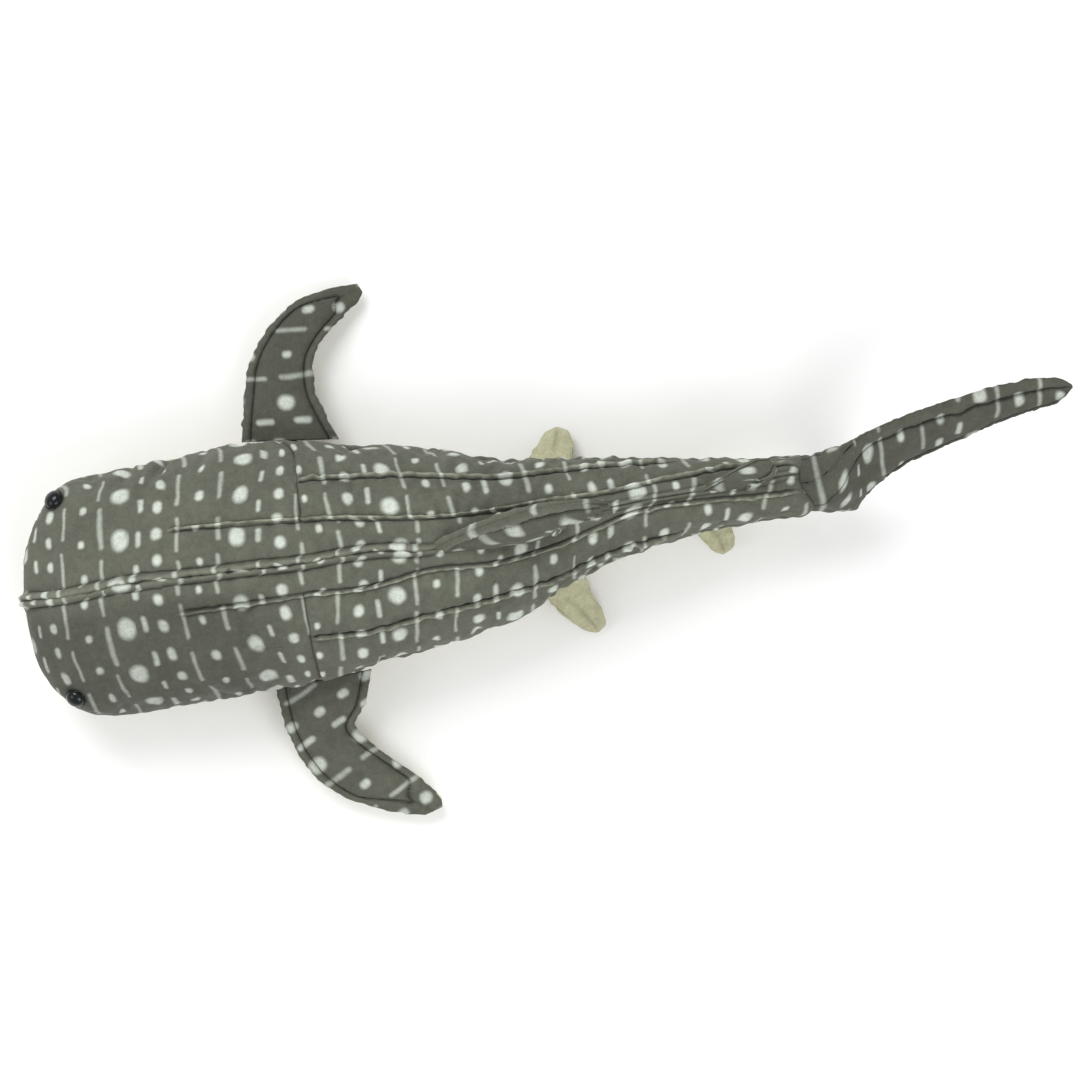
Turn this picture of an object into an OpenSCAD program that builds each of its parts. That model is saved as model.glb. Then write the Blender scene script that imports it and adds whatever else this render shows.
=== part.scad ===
// Stuffed whale shark: sewn fabric panels over fibre stuffing, sewn-in fins and two safety eyes.
// Frame: the nose points to -X and the tail to +X, the shark's right side is +Y, and the flat of
// the belly rests on z = 0. The origin is on that plane, under the middle of the belly.

/* [Body] */
// Place of the nose tip along X
nose_x = -153; // [-157:1:-150]
// Length over which the nose rounds out to the full width of the head
nose_length = 43; // [38:1:50]
// Length over which the top of the head rises from the nose
brow_length = 110; // [90:1:125]
// Length over which the chin drops from the nose to the belly
chin_length = 48; // [42:1:56]
// Thickness of the body fabric
fabric = 1.5; // [1.2:0.1:1.8]
// Place of the seam between the head and the back panels
head_seam_x = -4; // [-8:1:2]
// Gap left at each seam between two panels, in degrees around the body
seam_gap = 0.25; // [0.2:0.05:0.4]

/* [Tail] */
// Place of the vertical line about which the tail bends
tail_x = 170; // [165:1:175]
// Place of the vertical line about which the tail fin swings, at its seam
caudal_x = 267; // [264:1:270]
// Relief angle each side of the tail bend
tail_relief = 12; // [11:1:15]
// Relief angle each side of the tail fin seam
caudal_relief = 15; // [14:1:18]

/* [Fins] */
// Thickness of the fin fabric
fin_fabric = 1.2; // [1:0.1:1.4]
// Half thickness of the stuffed pectoral fins
pectoral_fill = 5; // [3:0.5:6]
// Half thickness of the stuffed first dorsal fin
dorsal_fill = 4; // [3:0.5:5]
// Half thickness of the stuffed tail fin beyond its root
caudal_fill = 5; // [4:0.5:6]
// Half thickness of the small unstuffed fins
small_fill = 0.9; // [0.6:0.1:1.2]

/* [Eyes] */
// Diameter of the glossy dome
eye_d = 10; // [9:0.5:11]
// Diameter of the flange under the dome
eye_flange_d = 12.5; // [12:0.5:14]
// Diameter of the ribbed shank that goes through the fabric
eye_shank_d = 3; // [2.5:0.5:4]
// Diameter of the locking washer inside the head
washer_d = 15; // [13:1:18]
// Place of the eyes along X
eye_x = -129; // [-132:1:-124]
// Angle of the eyes around the head, from the top
eye_angle = 60; // [54:1:66]

/* [Hidden] */

grey = [0.40, 0.40, 0.35];
cream = [0.78, 0.76, 0.64];
fibre = [0.93, 0.93, 0.91];
right = 1; // the shark's right side is +Y
left = -1;
hinge_gap = 0.4; // half of the gap between two bodies on a bend line
root_gap = 1.9; // from the body to the middle of a fin's root
stuffing_gap = 0.5; // between the stuffing and the fabric round it
fin_steps = 16; // rows of a fin's grid, from its root to its tip
fin_cells = 6; // columns of a fin's grid, from its front edge to its rear edge
roundness = 2.3; // exponent of the body's sections
section_power = 2 / roundness;
nose_roundness = 2.2; // exponent of the nose outline in plan
belly_dip = 1.5; // how far the belly is cut flat

// Half width of the body at places along X
widths = [[-110, 63], [-80, 65], [-30, 65.5], [0, 63.5], [30, 58], [70, 51], [100, 43.5],
    [130, 35], [160, 27.5], [200, 21], [235, 17], [270, 15.5]];
// Middle of the body along Y
middles = [[-155, -6], [-130, -3], [-60, -0.5], [-20, 1], [30, -1], [90, -2.5], [110, -2],
    [140, 2.5], [180, 5.5], [210, 5.5], [270, 3]];
// Height of the widest level
levels = [[-155, 34], [-110, 31], [-60, 30], [100, 31], [160, 35], [200, 38], [270, 41]];
// Height of the back
tops = [[-155, 77], [-40, 78], [30, 77], [80, 74], [120, 70], [160, 65], [200, 61.5], [270, 57]];
// Height of the belly, which dips below its flat before it is cut
bottoms = [[-155, -belly_dip], [90, -belly_dip], [120, 1.5], [160, 9], [200, 17], [270, 26]];
// Distance of the first ridge from the keel, then of the second ridge
ridge_offsets = [[-10, 19], [70, 13.5], [100, 13], [140, 11.5], [170, 9.5], [240, 8], [270, 8]];
second_ridge_offsets = [[-10, 41], [50, 37], [100, 32.5], [140, 25.5], [170, 21]];
// Angle of the side seam around the body, from the top
side_angles = [[-155, 96], [-60, 94], [0, 86], [60, 88], [270, 90]];

// Cubic curve through a list of [place, value], where a value is a number or a point
function slope(p, i) =
    let (a = max(i - 1, 0), b = min(i + 1, len(p) - 1)) (p[b][1] - p[a][1]) / (p[b][0] - p[a][0]);
function span_of(p, x, i = 0) = (i >= len(p) - 2 || x < p[i + 1][0]) ? i : span_of(p, x, i + 1);
function cubic(p, x, i) =
    let (h = p[i + 1][0] - p[i][0], t = (x - p[i][0]) / h)
    p[i][1] * (1 + 2 * t) * pow(1 - t, 2) + slope(p, i) * h * t * pow(1 - t, 2)
    + p[i + 1][1] * t * t * (3 - 2 * t) + slope(p, i + 1) * h * t * t * (t - 1);
function along(p, x) = cubic(p, x, span_of(p, x));
function unit(v) = v / norm(v);
function clamp(t) = min(1, max(0, t));

// Body surface, d inside the outer face of the fabric
function nose_share(x, d) =
    let (t = clamp((x - nose_x - d) / (nose_length - d)))
    pow(1 - pow(1 - t, nose_roundness), 1 / nose_roundness);
function rise(t) = sqrt(1 - pow(1 - clamp(t), 2));
function half_width(x, d) = (along(widths, max(x, widths[0][0])) - d) * nose_share(x, d);
function top_reach(x, d) =
    (along(tops, x) - d - along(levels, x)) * rise((x - nose_x - d) / brow_length);
function bottom_reach(x, d) =
    (along(levels, x) - along(bottoms, x) - d) * rise((x - nose_x - d) / chin_length);
// How far a place along X moves off a bend line, so that both sides clear as they turn
function relieved(x, off) =
    let (tail_fade = clamp(1 - abs(x - tail_x) / 25), stock_fade = clamp(1 - abs(x - caudal_x) / 15))
    x + (x > tail_x ? 1 : -1) * off * tan(tail_relief) * tail_fade
    - off * tan(caudal_relief) * stock_fade;
function body_point(at, angle, d) =
    let (
        x = relieved(at, half_width(at, d) * pow(abs(sin(angle)), section_power)),
        side = pow(abs(sin(angle)), section_power) * sign(sin(angle)),
        up = pow(abs(cos(angle)), section_power),
        z = along(levels, x) + (cos(angle) > 0 ? top_reach(x, d) * up : -bottom_reach(x, d) * up)
    )
    [x, along(middles, x) + half_width(x, d) * side, d > 0 ? max(z, d) : z];
function body_normal(x, angle) =
    unit(cross(body_point(x + 0.5, angle, 0) - body_point(x - 0.5, angle, 0),
        body_point(x, angle + 0.5, 0) - body_point(x, angle - 0.5, 0)));
// Angle at which a line lies that runs a given distance from the keel
function angle_at(x, offset) = asin(pow(min(1, offset / half_width(x, 0)), 1 / section_power));
function ridge_angle(x) = angle_at(x, along(ridge_offsets, x));
function second_ridge_angle(x) = angle_at(x, along(second_ridge_offsets, x));
function side_angle(x) = along(side_angles, x);

nose_turns = [7, 15, 24, 34, 45, 56, 68, 79];
function nose_stations(d) = [for (a = nose_turns) nose_x + d + (nose_length - d) * (1 - cos(a))];
head_stations = [-108, -90, -70, -50, -30, -15];
back_stations = [10, 28, 46, 64, 82, 100, 115, 130, 145, 158, tail_x - hinge_gap];
tail_stations = [tail_x + hinge_gap, 182, 195, 208, 221, 234, 246, 256, caudal_x - hinge_gap];

function evenly(a, b, n, flip = 1) = [for (i = [0:n]) flip * (a + (b - a) * i / n)];

// Closed solid between an outer and an inner grid of points
function cell(a, b, c, d) = [[a, b, c], [a, c, d]];
module slab(outer, inner, flip = false) {
    rows = len(outer);
    cols = len(outer[0]);
    o = [for (i = [0:rows - 1]) [for (j = [0:cols - 1]) i * cols + j]];
    q = [for (i = [0:rows - 1]) [for (j = [0:cols - 1]) (rows + i) * cols + j]];
    m = rows - 1;
    n = cols - 1;
    faces = concat(
        [for (i = [0:m - 1], j = [0:n - 1]) each cell(o[i][j], o[i + 1][j], o[i + 1][j + 1], o[i][j + 1])],
        [for (i = [0:m - 1], j = [0:n - 1]) each cell(q[i][j], q[i][j + 1], q[i + 1][j + 1], q[i + 1][j])],
        [for (j = [0:n - 1]) each cell(o[0][j], o[0][j + 1], q[0][j + 1], q[0][j])],
        [for (j = [0:n - 1]) each cell(o[m][j + 1], o[m][j], q[m][j], q[m][j + 1])],
        [for (i = [0:m - 1]) each cell(o[i + 1][0], o[i][0], q[i][0], q[i + 1][0])],
        [for (i = [0:m - 1]) each cell(o[i][n], o[i + 1][n], q[i + 1][n], q[i][n])]
    );
    polyhedron(
        points = concat([for (row = outer) each row], [for (row = inner) each row]),
        faces = flip ? [for (f = faces) [f[2], f[1], f[0]]] : faces
    );
}

// Solid inside a run of closed rings
module ring_solid(rings) {
    rows = len(rings);
    cols = len(rings[0]);
    ends = [for (ring = [rings[0], rings[rows - 1]]) [for (p = ring) 1] * ring / cols];
    first = rows * cols;
    polyhedron(
        points = concat([for (ring = rings) each ring], ends),
        faces = concat(
            [for (i = [0:rows - 2], j = [0:cols - 1]) let (k = (j + 1) % cols)
                each cell(i * cols + j, (i + 1) * cols + j, (i + 1) * cols + k, i * cols + k)],
            [for (j = [0:cols - 1]) [first, j, (j + 1) % cols]],
            [for (j = [0:cols - 1]) [first + 1, (rows - 1) * cols + (j + 1) % cols, (rows - 1) * cols + j]]
        )
    );
}

// Panel of the body over stations along X, between two angles that may change along it
function head_places(d) = concat(nose_stations(d), head_stations);
// The crown covers the whole head, and only a strip beside the keel behind the head seam
strip_cells = 3;
module crown_panel(side) {
    function strip(x) = evenly(seam_gap, ridge_angle(max(x, ridge_offsets[0][0])) - seam_gap, strip_cells, side);
    function wide(x) = concat(strip(x), [for (i = [1:8])
        let (a = strip(x)[strip_cells]) a + (side * (side_angle(x) - seam_gap) - a) * i / 8]);
    function head_rows(d) = [for (x = concat(head_places(d), [head_seam_x])) [for (a = wide(x)) body_point(x, a, d)]];
    function strip_rows(d) = [for (x = concat([head_seam_x], back_stations)) [for (a = strip(x)) body_point(x, a, d)]];
    slab(head_rows(0), head_rows(fabric), side == left);
    slab(strip_rows(0), strip_rows(fabric), side == left);
}
module back_panel(side, stations, kind) {
    function rows(d) = [for (x = stations)
        let (
            first = kind == "crown" ? 0 : kind == "side" ? second_ridge_angle(x) : ridge_angle(x),
            last = kind == "crown" ? ridge_angle(x) : kind == "flank" ? second_ridge_angle(x) : side_angle(x)
        )
        [for (a = evenly(first + seam_gap, last - seam_gap, 5, side)) body_point(x, a, d)]];
    slab(rows(0), rows(fabric), side == left);
}
module belly_panel(places) {
    function rows(d) = [for (x = places[d > 0 ? 1 : 0])
        [for (a = evenly(side_angle(x) + seam_gap, 360 - side_angle(x) - seam_gap, 18)) body_point(x, a, d)]];
    slab(rows(0), rows(fabric));
}
module stuffing(stations) {
    d = fabric + stuffing_gap;
    ring_solid([for (x = stations) [for (a = [0:15:345]) body_point(x, a, d)]]);
}

// Eyes
module on_head(side) {
    n = body_normal(eye_x, side * eye_angle);
    translate(body_point(eye_x, side * eye_angle, 0)) rotate([0, acos(n[2]), atan2(n[1], n[0])]) children();
}
module crown(side) {
    color(grey) difference() {
        crown_panel(side);
        on_head(side) cylinder(d = eye_shank_d + 0.4, h = 12, center = true, $fn = 24);
    }
}
module eye(side) {
    color([0.03, 0.05, 0.04]) on_head(side) {
        rotate_extrude($fn = 48) polygon(concat(
            [[0, -6.5], [eye_shank_d / 2, -6.5], [eye_shank_d / 2, 0.5], [eye_flange_d / 2, 0.5],
                [eye_flange_d / 2, 1.5]],
            [for (a = [0:9:90]) [eye_d / 2 * cos(a), 1.5 + eye_d * 0.36 * sin(a)]]
        ));
    }
}
module eye_washer(side) {
    color([0.85, 0.85, 0.82]) on_head(side) translate([0, 0, -5.2]) difference() {
        cylinder(d = washer_d, h = 1.5, $fn = 36);
        translate([0, 0, -1]) cylinder(d = eye_shank_d + 0.1, h = 4, $fn = 24);
    }
}

// Trunk
module flank(side) color(grey) back_panel(side, concat([head_seam_x + 0.3], back_stations), "flank");
module trunk_side(side) color(grey) back_panel(side, concat([head_seam_x + 0.3], back_stations), "side");
module belly() {
    color(cream) difference() {
        belly_panel([for (d = [0, fabric]) concat(head_places(d), [-2], back_stations)]);
        translate([nose_x - 10, -100, -20]) cube([400, 200, 20]);
    }
}
module trunk_stuffing() {
    color(fibre) difference() {
        stuffing(concat(nose_stations(fabric + stuffing_gap), head_stations, [-2], back_stations));
        for (side = [left, right])
            on_head(side) translate([0, 0, -8.5]) cylinder(d = washer_d + 1, h = 20, $fn = 36);
    }
}

// Tail
module tail_panel(side, kind) color(grey) back_panel(side, tail_stations, kind);
module tail_belly() color(cream) belly_panel([tail_stations, tail_stations]);
module tail_stuffing() color(fibre) stuffing(tail_stations);

// A fin is [front edge, rear edge, half thickness, thickness direction, relief], where the edges
// and the thickness are curves over a place s that runs from 0 at the root to 1 at the tip
function fin_curve(points) = [for (i = [0:len(points) - 1]) [i / (len(points) - 1), points[i]]];
function fin_half(fin, s, u) = along(fin[2], s) * pow(max(0, 1 - pow(2 * u - 1, 2)), 0.6);
function fin_point(fin, s, u, t) =
    let (a = along(fin[0], s), b = along(fin[1], s))
    a + (b - a) * u + fin[3] * t + [abs(t) * fin[4] * clamp(1 - s / 0.08), 0, 0];
module fin_panel(fin, face) {
    function rows(d) = [for (s = evenly(0, 1, fin_steps)) [for (u = evenly(0, 1, fin_cells))
        fin_point(fin, s, u, face * (fin_half(fin, s, u) + d))]];
    slab(rows(fin_fabric), rows(0.05), face * fin[5] < 0);
}
// The stuffing leaves out the grid's outermost ring of cells
module fin_stuffing(fin) {
    function rows(face) = [for (i = [1:fin_steps - 1]) [for (j = [1:fin_cells - 1])
        let (s = i / fin_steps, u = j / fin_cells)
        fin_point(fin, s, u, face * (fin_half(fin, s, u) - stuffing_gap))]];
    slab(rows(1), rows(-1), fin[5] < 0);
}

// Pectoral fins: swept crescents that droop from the side seam nearly to the floor
pectoral_heights = [25, 24, 21, 18, 15, 12, 10, 8.5, 8];
pectoral_right_front = [[-27, 68.2], [-25, 77], [-22, 90], [-18, 105], [-9, 119], [3, 130.5],
    [18, 137.5], [33, 139.5], [43, 139.5]];
pectoral_right_rear = [[24, 62.8], [18, 77], [15, 90], [17, 105], [24.5, 115.5], [34, 124.5],
    [41.5, 130.5], [45.5, 135], [46.5, 138]];
pectoral_left_front = [[-27, -66.4], [-26, -78], [-24, -89], [-20, -101], [-13, -113], [-2, -124],
    [12, -132], [30, -138.5], [41, -141]];
pectoral_left_rear = [[24, -63.2], [18.5, -78], [11.5, -88], [15, -96], [26, -107], [37, -117],
    [45, -125], [50.5, -132], [51, -138]];
function with_heights(points, heights) = [for (i = [0:len(points) - 1]) concat(points[i], heights[i])];
function swelling(root, most, tip) = [[0, root], [0.12, most * 0.8], [0.4, most], [0.8, most * 0.6], [1, tip]];
pectoral_thickness = swelling(0, pectoral_fill, 0.3);
pectoral_right = [fin_curve(with_heights(pectoral_right_front, pectoral_heights)),
    fin_curve(with_heights(pectoral_right_rear, pectoral_heights)), pectoral_thickness, [0, 0, 1], 0, -1];
pectoral_left = [fin_curve(with_heights(pectoral_left_front, pectoral_heights)),
    fin_curve(with_heights(pectoral_left_rear, pectoral_heights)), pectoral_thickness, [0, 0, 1], 0, 1];

// Point just off the body, where a fin's root is sewn in
function root_point(x, angle) = body_point(x, angle, -root_gap);

// First dorsal fin: leans a little to the right, with its tip swept back
dorsal = [
    fin_curve([root_point(66, -1), [85, -2, 86], [107, 3, 97], [130, 7, 107], [146, 8, 112], [156, 6, 113]]),
    fin_curve([root_point(137, -2), [132, 0, 82], [132, 3, 93], [140, 6, 102], [150, 7, 108], [158, 6, 111]]),
    swelling(0, dorsal_fill, 0.3), unit([0.05, 1, -0.2]), 0, 1];

// Second dorsal fin: small and flopped over to the right
second_dorsal = [
    fin_curve([root_point(204, 2), [214, 9.5, 67], [226, 13, 71], [237, 17, 74]]),
    fin_curve([root_point(232, 2), [234, 9.5, 66], [239, 13, 70], [244, 17, 73]]),
    swelling(0, small_fill, 0.2), unit([0, 0.75, -0.66]), 0, 1];

// Pelvic fins: soft petals that lie out from the belly
pelvic_angle = 125; // of their roots around the body, from the top
pelvic_right = [
    fin_curve([root_point(118, pelvic_angle), [124, 39.5, 9.5], [130, 45.5, 7], [137, 50.5, 5]]),
    fin_curve([root_point(141, pelvic_angle), [144, 36, 10.5], [144, 44, 7], [141, 50.5, 5]]),
    swelling(0, small_fill, 0.2), [0, 0, 1], 0, -1];
pelvic_left = [
    fin_curve([root_point(118, -pelvic_angle), [125, -45, 9.5], [133, -53, 7], [142, -58, 5]]),
    fin_curve([root_point(141, -pelvic_angle), [145, -39, 10.5], [148, -49, 7], [147, -57, 5]]),
    swelling(0, small_fill, 0.2), [0, 0, 1], 0, 1];

// Anal fin: a small petal under the tail, leaning to the left
anal_angle = -155;
anal = [
    fin_curve([root_point(195, anal_angle), [202, -12, 11], [208, -20, 8.5], [213, -26, 7]]),
    fin_curve([root_point(217, anal_angle), [220.5, -11, 13.5], [221.5, -18, 10], [219, -25.5, 8]]),
    swelling(0, small_fill, 0.2), unit([0, -0.45, 0.9]), 0, 1];

// Tail fin: a long upper lobe and a short lower lobe, rolled a little to the right
caudal_slant = 0.2; // how far its thickness direction turns towards the nose
caudal = [
    fin_curve([[caudal_x + hinge_gap, 3, 56.5], [273, 6, 61], [280, 10, 65], [287, 14, 69], [295, 18, 74],
        [314, 25, 85], [337, 31.5, 98], [361, 36.5, 111], [378, 37.5, 119], [388, 36, 123], [393, 32.5, 124]]),
    fin_curve([[caudal_x + hinge_gap, 3, 26.5], [274, -1, 20], [281, -4.5, 14], [288, -4, 18], [296, 2, 38],
        [314, 9, 58], [335, 16, 75], [358, 22.5, 92], [377, 27.5, 106], [388, 29.5, 116], [394, 31, 121]]),
    [[0, 13.8], [0.06, 12.5], [0.14, 9.5], [0.26, caudal_fill * 1.4], [0.5, caudal_fill], [0.8, caudal_fill * 0.6],
        [1, 0.3]],
    unit([-caudal_slant, 1, -0.3]), tan(caudal_relief) + caudal_slant, 1];

module fin_face(fin, face, tone) color(tone) fin_panel(fin, face);
module fin_fibre(fin) color(fibre) fin_stuffing(fin);

crown(left);  // crown_left
crown(right);  // crown_right
flank(left);  // flank_left
flank(right);  // flank_right
trunk_side(left);  // side_left
trunk_side(right);  // side_right
belly();
trunk_stuffing();
eye(left);  // eye_left
eye(right);  // eye_right
eye_washer(left);  // eye_washer_left
eye_washer(right);  // eye_washer_right
tail_panel(left, "crown");  // tail_crown_left
tail_panel(right, "crown");  // tail_crown_right
tail_panel(left, "lower");  // tail_side_left
tail_panel(right, "lower");  // tail_side_right
tail_belly();
tail_stuffing();
fin_face(pectoral_left, 1, grey);  // pectoral_left_top
fin_face(pectoral_left, -1, cream);  // pectoral_left_bottom
fin_fibre(pectoral_left);  // pectoral_left_stuffing
fin_face(pectoral_right, 1, grey);  // pectoral_right_top
fin_face(pectoral_right, -1, cream);  // pectoral_right_bottom
fin_fibre(pectoral_right);  // pectoral_right_stuffing
fin_face(dorsal, -1, grey);  // dorsal_left
fin_face(dorsal, 1, grey);  // dorsal_right
fin_fibre(dorsal);  // dorsal_stuffing
fin_face(second_dorsal, -1, grey);  // second_dorsal_left
fin_face(second_dorsal, 1, grey);  // second_dorsal_right
fin_face(pelvic_left, 1, cream);  // pelvic_left_top
fin_face(pelvic_left, -1, cream);  // pelvic_left_bottom
fin_face(pelvic_right, 1, cream);  // pelvic_right_top
fin_face(pelvic_right, -1, cream);  // pelvic_right_bottom
fin_face(anal, 1, cream);  // anal_left
fin_face(anal, -1, cream);  // anal_right
fin_face(caudal, -1, grey);  // caudal_left
fin_face(caudal, 1, grey);  // caudal_right
fin_fibre(caudal);  // caudal_stuffing
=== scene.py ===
import math

import bpy
import numpy as np
from mathutils import Matrix, Vector


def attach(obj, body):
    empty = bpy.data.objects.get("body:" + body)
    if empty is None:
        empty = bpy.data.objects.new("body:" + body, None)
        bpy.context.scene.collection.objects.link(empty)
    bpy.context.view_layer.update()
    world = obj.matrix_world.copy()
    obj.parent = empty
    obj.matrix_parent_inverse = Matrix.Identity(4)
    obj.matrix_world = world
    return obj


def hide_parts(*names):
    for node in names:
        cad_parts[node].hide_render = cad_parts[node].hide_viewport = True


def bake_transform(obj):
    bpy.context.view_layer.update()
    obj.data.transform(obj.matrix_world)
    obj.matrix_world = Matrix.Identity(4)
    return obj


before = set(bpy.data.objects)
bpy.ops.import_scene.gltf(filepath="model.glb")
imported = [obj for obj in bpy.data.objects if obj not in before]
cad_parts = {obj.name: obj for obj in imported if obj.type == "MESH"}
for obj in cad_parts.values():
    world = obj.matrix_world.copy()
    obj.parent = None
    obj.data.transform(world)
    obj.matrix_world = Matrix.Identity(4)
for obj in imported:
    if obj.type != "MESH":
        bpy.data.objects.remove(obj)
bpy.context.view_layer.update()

scene = bpy.context.scene
scene.view_settings.view_transform = "Standard"


def along(points, x):
    # smooth curve through [place, value] pairs
    p = np.array([q[0] for q in points], float)
    v = np.array([q[1] for q in points], float)
    x = np.asarray(x, float)
    slope = np.empty_like(v)
    slope[1:-1] = ((v[2:] - v[:-2]).T / (p[2:] - p[:-2])).T
    slope[0], slope[-1] = (v[1] - v[0]) / (p[1] - p[0]), (v[-1] - v[-2]) / (p[-1] - p[-2])
    i = np.clip(np.searchsorted(p, x, side="right") - 1, 0, len(p) - 2)
    h = p[i + 1] - p[i]
    t = (x - p[i]) / h
    if v.ndim > 1:
        h, t = h[..., None], t[..., None]
    return (v[i] * (1 + 2 * t) * (1 - t) ** 2 + slope[i] * h * t * (1 - t) ** 2
            + v[i + 1] * t * t * (3 - 2 * t) + slope[i + 1] * h * t * t * (t - 1))


def smooth(low, high, x):
    # from 0 at low to 1 at high, whichever is the larger
    t = np.clip((np.asarray(x, float) - low) / (high - low), 0, 1)
    return t * t * (3 - 2 * t)


def unit(v):
    v = np.asarray(v, float)
    return v / np.maximum(np.linalg.norm(v, axis=-1, keepdims=True), 1e-9)


def ripples(p, wave, seed, stretch=(1, 1, 1), count=9):
    # gentle random unevenness with about the given wavelength
    rng = np.random.default_rng(seed)
    total = np.zeros(p.shape[:-1])
    for n in range(count):
        way = rng.normal(size=3)
        way = way / np.linalg.norm(way) * 2 * math.pi / (wave * rng.uniform(0.65, 1.5)) * np.array(stretch)
        total += np.sin(p @ way + rng.uniform(0, 2 * math.pi))
    return total / math.sqrt(count)


def gridNormals(p):
    return unit(np.cross(np.gradient(p, axis=0), np.gradient(p, axis=1)))


def makeMesh(name, points, faces, fabric=None, marks=None):
    # points in millimetres, fabric is the cloth's own map in millimetres, marks are shading values
    mesh = bpy.data.meshes.new(name)
    mesh.from_pydata((np.asarray(points) * 0.001).tolist(), [], faces)
    if fabric is not None:
        layer = mesh.uv_layers.new(name="fabric")
        corner = np.empty(len(mesh.loops), int)
        mesh.loops.foreach_get("vertex_index", corner)
        layer.data.foreach_set("uv", (np.asarray(fabric) * 0.001)[corner].astype(np.float32).ravel())
    for key, value in (marks or {}).items():
        mesh.attributes.new(key, "FLOAT", "POINT").data.foreach_set("value", np.asarray(value, np.float32))
    mesh.update()
    piece = bpy.data.objects.new(name, mesh)
    scene.collection.objects.link(piece)
    return piece


def selectNone():
    bpy.ops.object.select_all(action="DESELECT")


def onlySelect(piece):
    if bpy.context.object and bpy.context.object.mode != "OBJECT":
        bpy.ops.object.mode_set(mode="OBJECT")
    bpy.ops.object.select_all(action="DESELECT")
    piece.select_set(True)
    bpy.context.view_layer.objects.active = piece


def tidyMesh(piece, thickness=0.0, merge=0.01):
    # merges doubles and gives the cloth its thickness
    onlySelect(piece)
    bpy.ops.object.mode_set(mode="EDIT")
    bpy.ops.mesh.select_all(action="SELECT")
    bpy.ops.mesh.remove_doubles(threshold=merge * 0.001)
    bpy.ops.object.mode_set(mode="OBJECT")
    bpy.ops.object.shade_smooth()
    if thickness:
        shell = piece.modifiers.new("thickness", "SOLIDIFY")
        shell.thickness = thickness * 0.001
        shell.offset = -1
        bpy.ops.object.modifier_apply(modifier=shell.name)


def gridFaces(rows, cols, flip=False, wrap=False):
    i, j = np.meshgrid(np.arange(rows - 1), np.arange(cols if wrap else cols - 1), indexing="ij")
    a, b = i * cols + j, i * cols + (j + 1) % cols
    f = np.stack([a, a + cols, b + cols, b], -1)
    return f[..., ::-1] if flip else f


cloth = dict(frames=18, pressure=6.0, grow=0.028, tension=5.0, bending=0.05, weight=0.02,
             quality=6, cap=2.6, gap=3.2, rowGap=3.4, slide=0.25, narrow=20)


def inflate(points, held):
    # the filling presses the cloth out between the places where it is held; gives how far each point moves
    rows, cols = points.shape[:2]
    faces = gridFaces(rows, cols, wrap=True).reshape(-1, 4).tolist()
    trial = makeMesh("trialCloth", points.reshape(-1, 3), faces)
    sewn = trial.vertex_groups.new(name="sewn")
    sewn.add(np.flatnonzero(held.ravel()).tolist(), 1.0, "REPLACE")
    modifier = trial.modifiers.new("cloth", "CLOTH")
    modifier.point_cache.frame_start, modifier.point_cache.frame_end = 1, cloth["frames"]
    settings = modifier.settings
    settings.quality = cloth["quality"]
    settings.mass = cloth["weight"]
    settings.tension_stiffness = settings.compression_stiffness = settings.shear_stiffness = cloth["tension"]
    settings.bending_stiffness = cloth["bending"]
    settings.shrink_min = -cloth["grow"]
    settings.use_pressure = True
    settings.uniform_pressure_force = cloth["pressure"]
    settings.vertex_group_mass = "sewn"
    settings.effector_weights.gravity = 0
    modifier.collision_settings.use_collision = False
    for n in range(1, cloth["frames"] + 1):
        scene.frame_set(n)
    onlySelect(trial)
    bpy.ops.object.modifier_apply(modifier=modifier.name)
    moved = np.empty(rows * cols * 3, np.float32)
    trial.data.vertices.foreach_get("co", moved)
    bpy.data.objects.remove(trial)
    scene.frame_set(1)
    move = moved.reshape(rows, cols, 3) * 1000 - points
    length = np.linalg.norm(move, axis=2, keepdims=True)
    print("cloth moved up to", round(float(length.max()), 2), "mm, middling", round(float(np.median(length)), 2))
    return move * np.minimum(1, cloth["cap"] / np.maximum(length, 1e-6))


def thinned(places, gap):
    # numbers of the places at least a gap apart, with the first and the last
    chosen = [0]
    for n in range(1, len(places) - 1):
        if places[n] - places[chosen[-1]] >= gap and places[-1] - places[n] >= 0.6 * gap:
            chosen.append(n)
    return chosen + [len(places) - 1]


def spreadOut(coarse, rows, cols, allRows, allCols):
    # the coarse grid's moves, smoothly between its rows and columns
    n, m = coarse.shape[:2]
    byRow = along(list(zip(rows, coarse.reshape(n, -1))), np.arange(allRows)).reshape(allRows, m, 3)
    byCol = along(list(zip(cols, byRow.transpose(1, 0, 2).reshape(m, -1))), np.arange(allCols))
    return byCol.reshape(allCols, allRows, 3).transpose(1, 0, 2)


view = dict(x=121, y=-6.4, height=2000, turn=-8, level=40, across=567)


def makeCamera():
    data = bpy.data.cameras.new("camera")
    data.sensor_width = 36
    data.lens = 36 * (view["height"] - view["level"]) / view["across"]
    data.clip_end = 20
    camera = bpy.data.objects.new("camera", data)
    camera.location = (view["x"] / 1000, view["y"] / 1000, view["height"] / 1000)
    camera.rotation_euler = (0, 0, math.radians(view["turn"]))
    scene.collection.objects.link(camera)
    scene.camera = camera


light = dict(key=15, fill=12, nose=3, sky=0.56, floor=0.95)


def addLight(name, place, size, power, target=(0.1, 0, 0.03)):
    data = bpy.data.lights.new(name, "AREA")
    data.energy, data.size = power, size
    lamp = bpy.data.objects.new(name, data)
    lamp.location = place
    way = np.array(target) - np.array(place)
    lamp.rotation_mode = "QUATERNION"
    lamp.rotation_quaternion = Vector(way).to_track_quat("-Z", "Y")
    scene.collection.objects.link(lamp)


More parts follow.
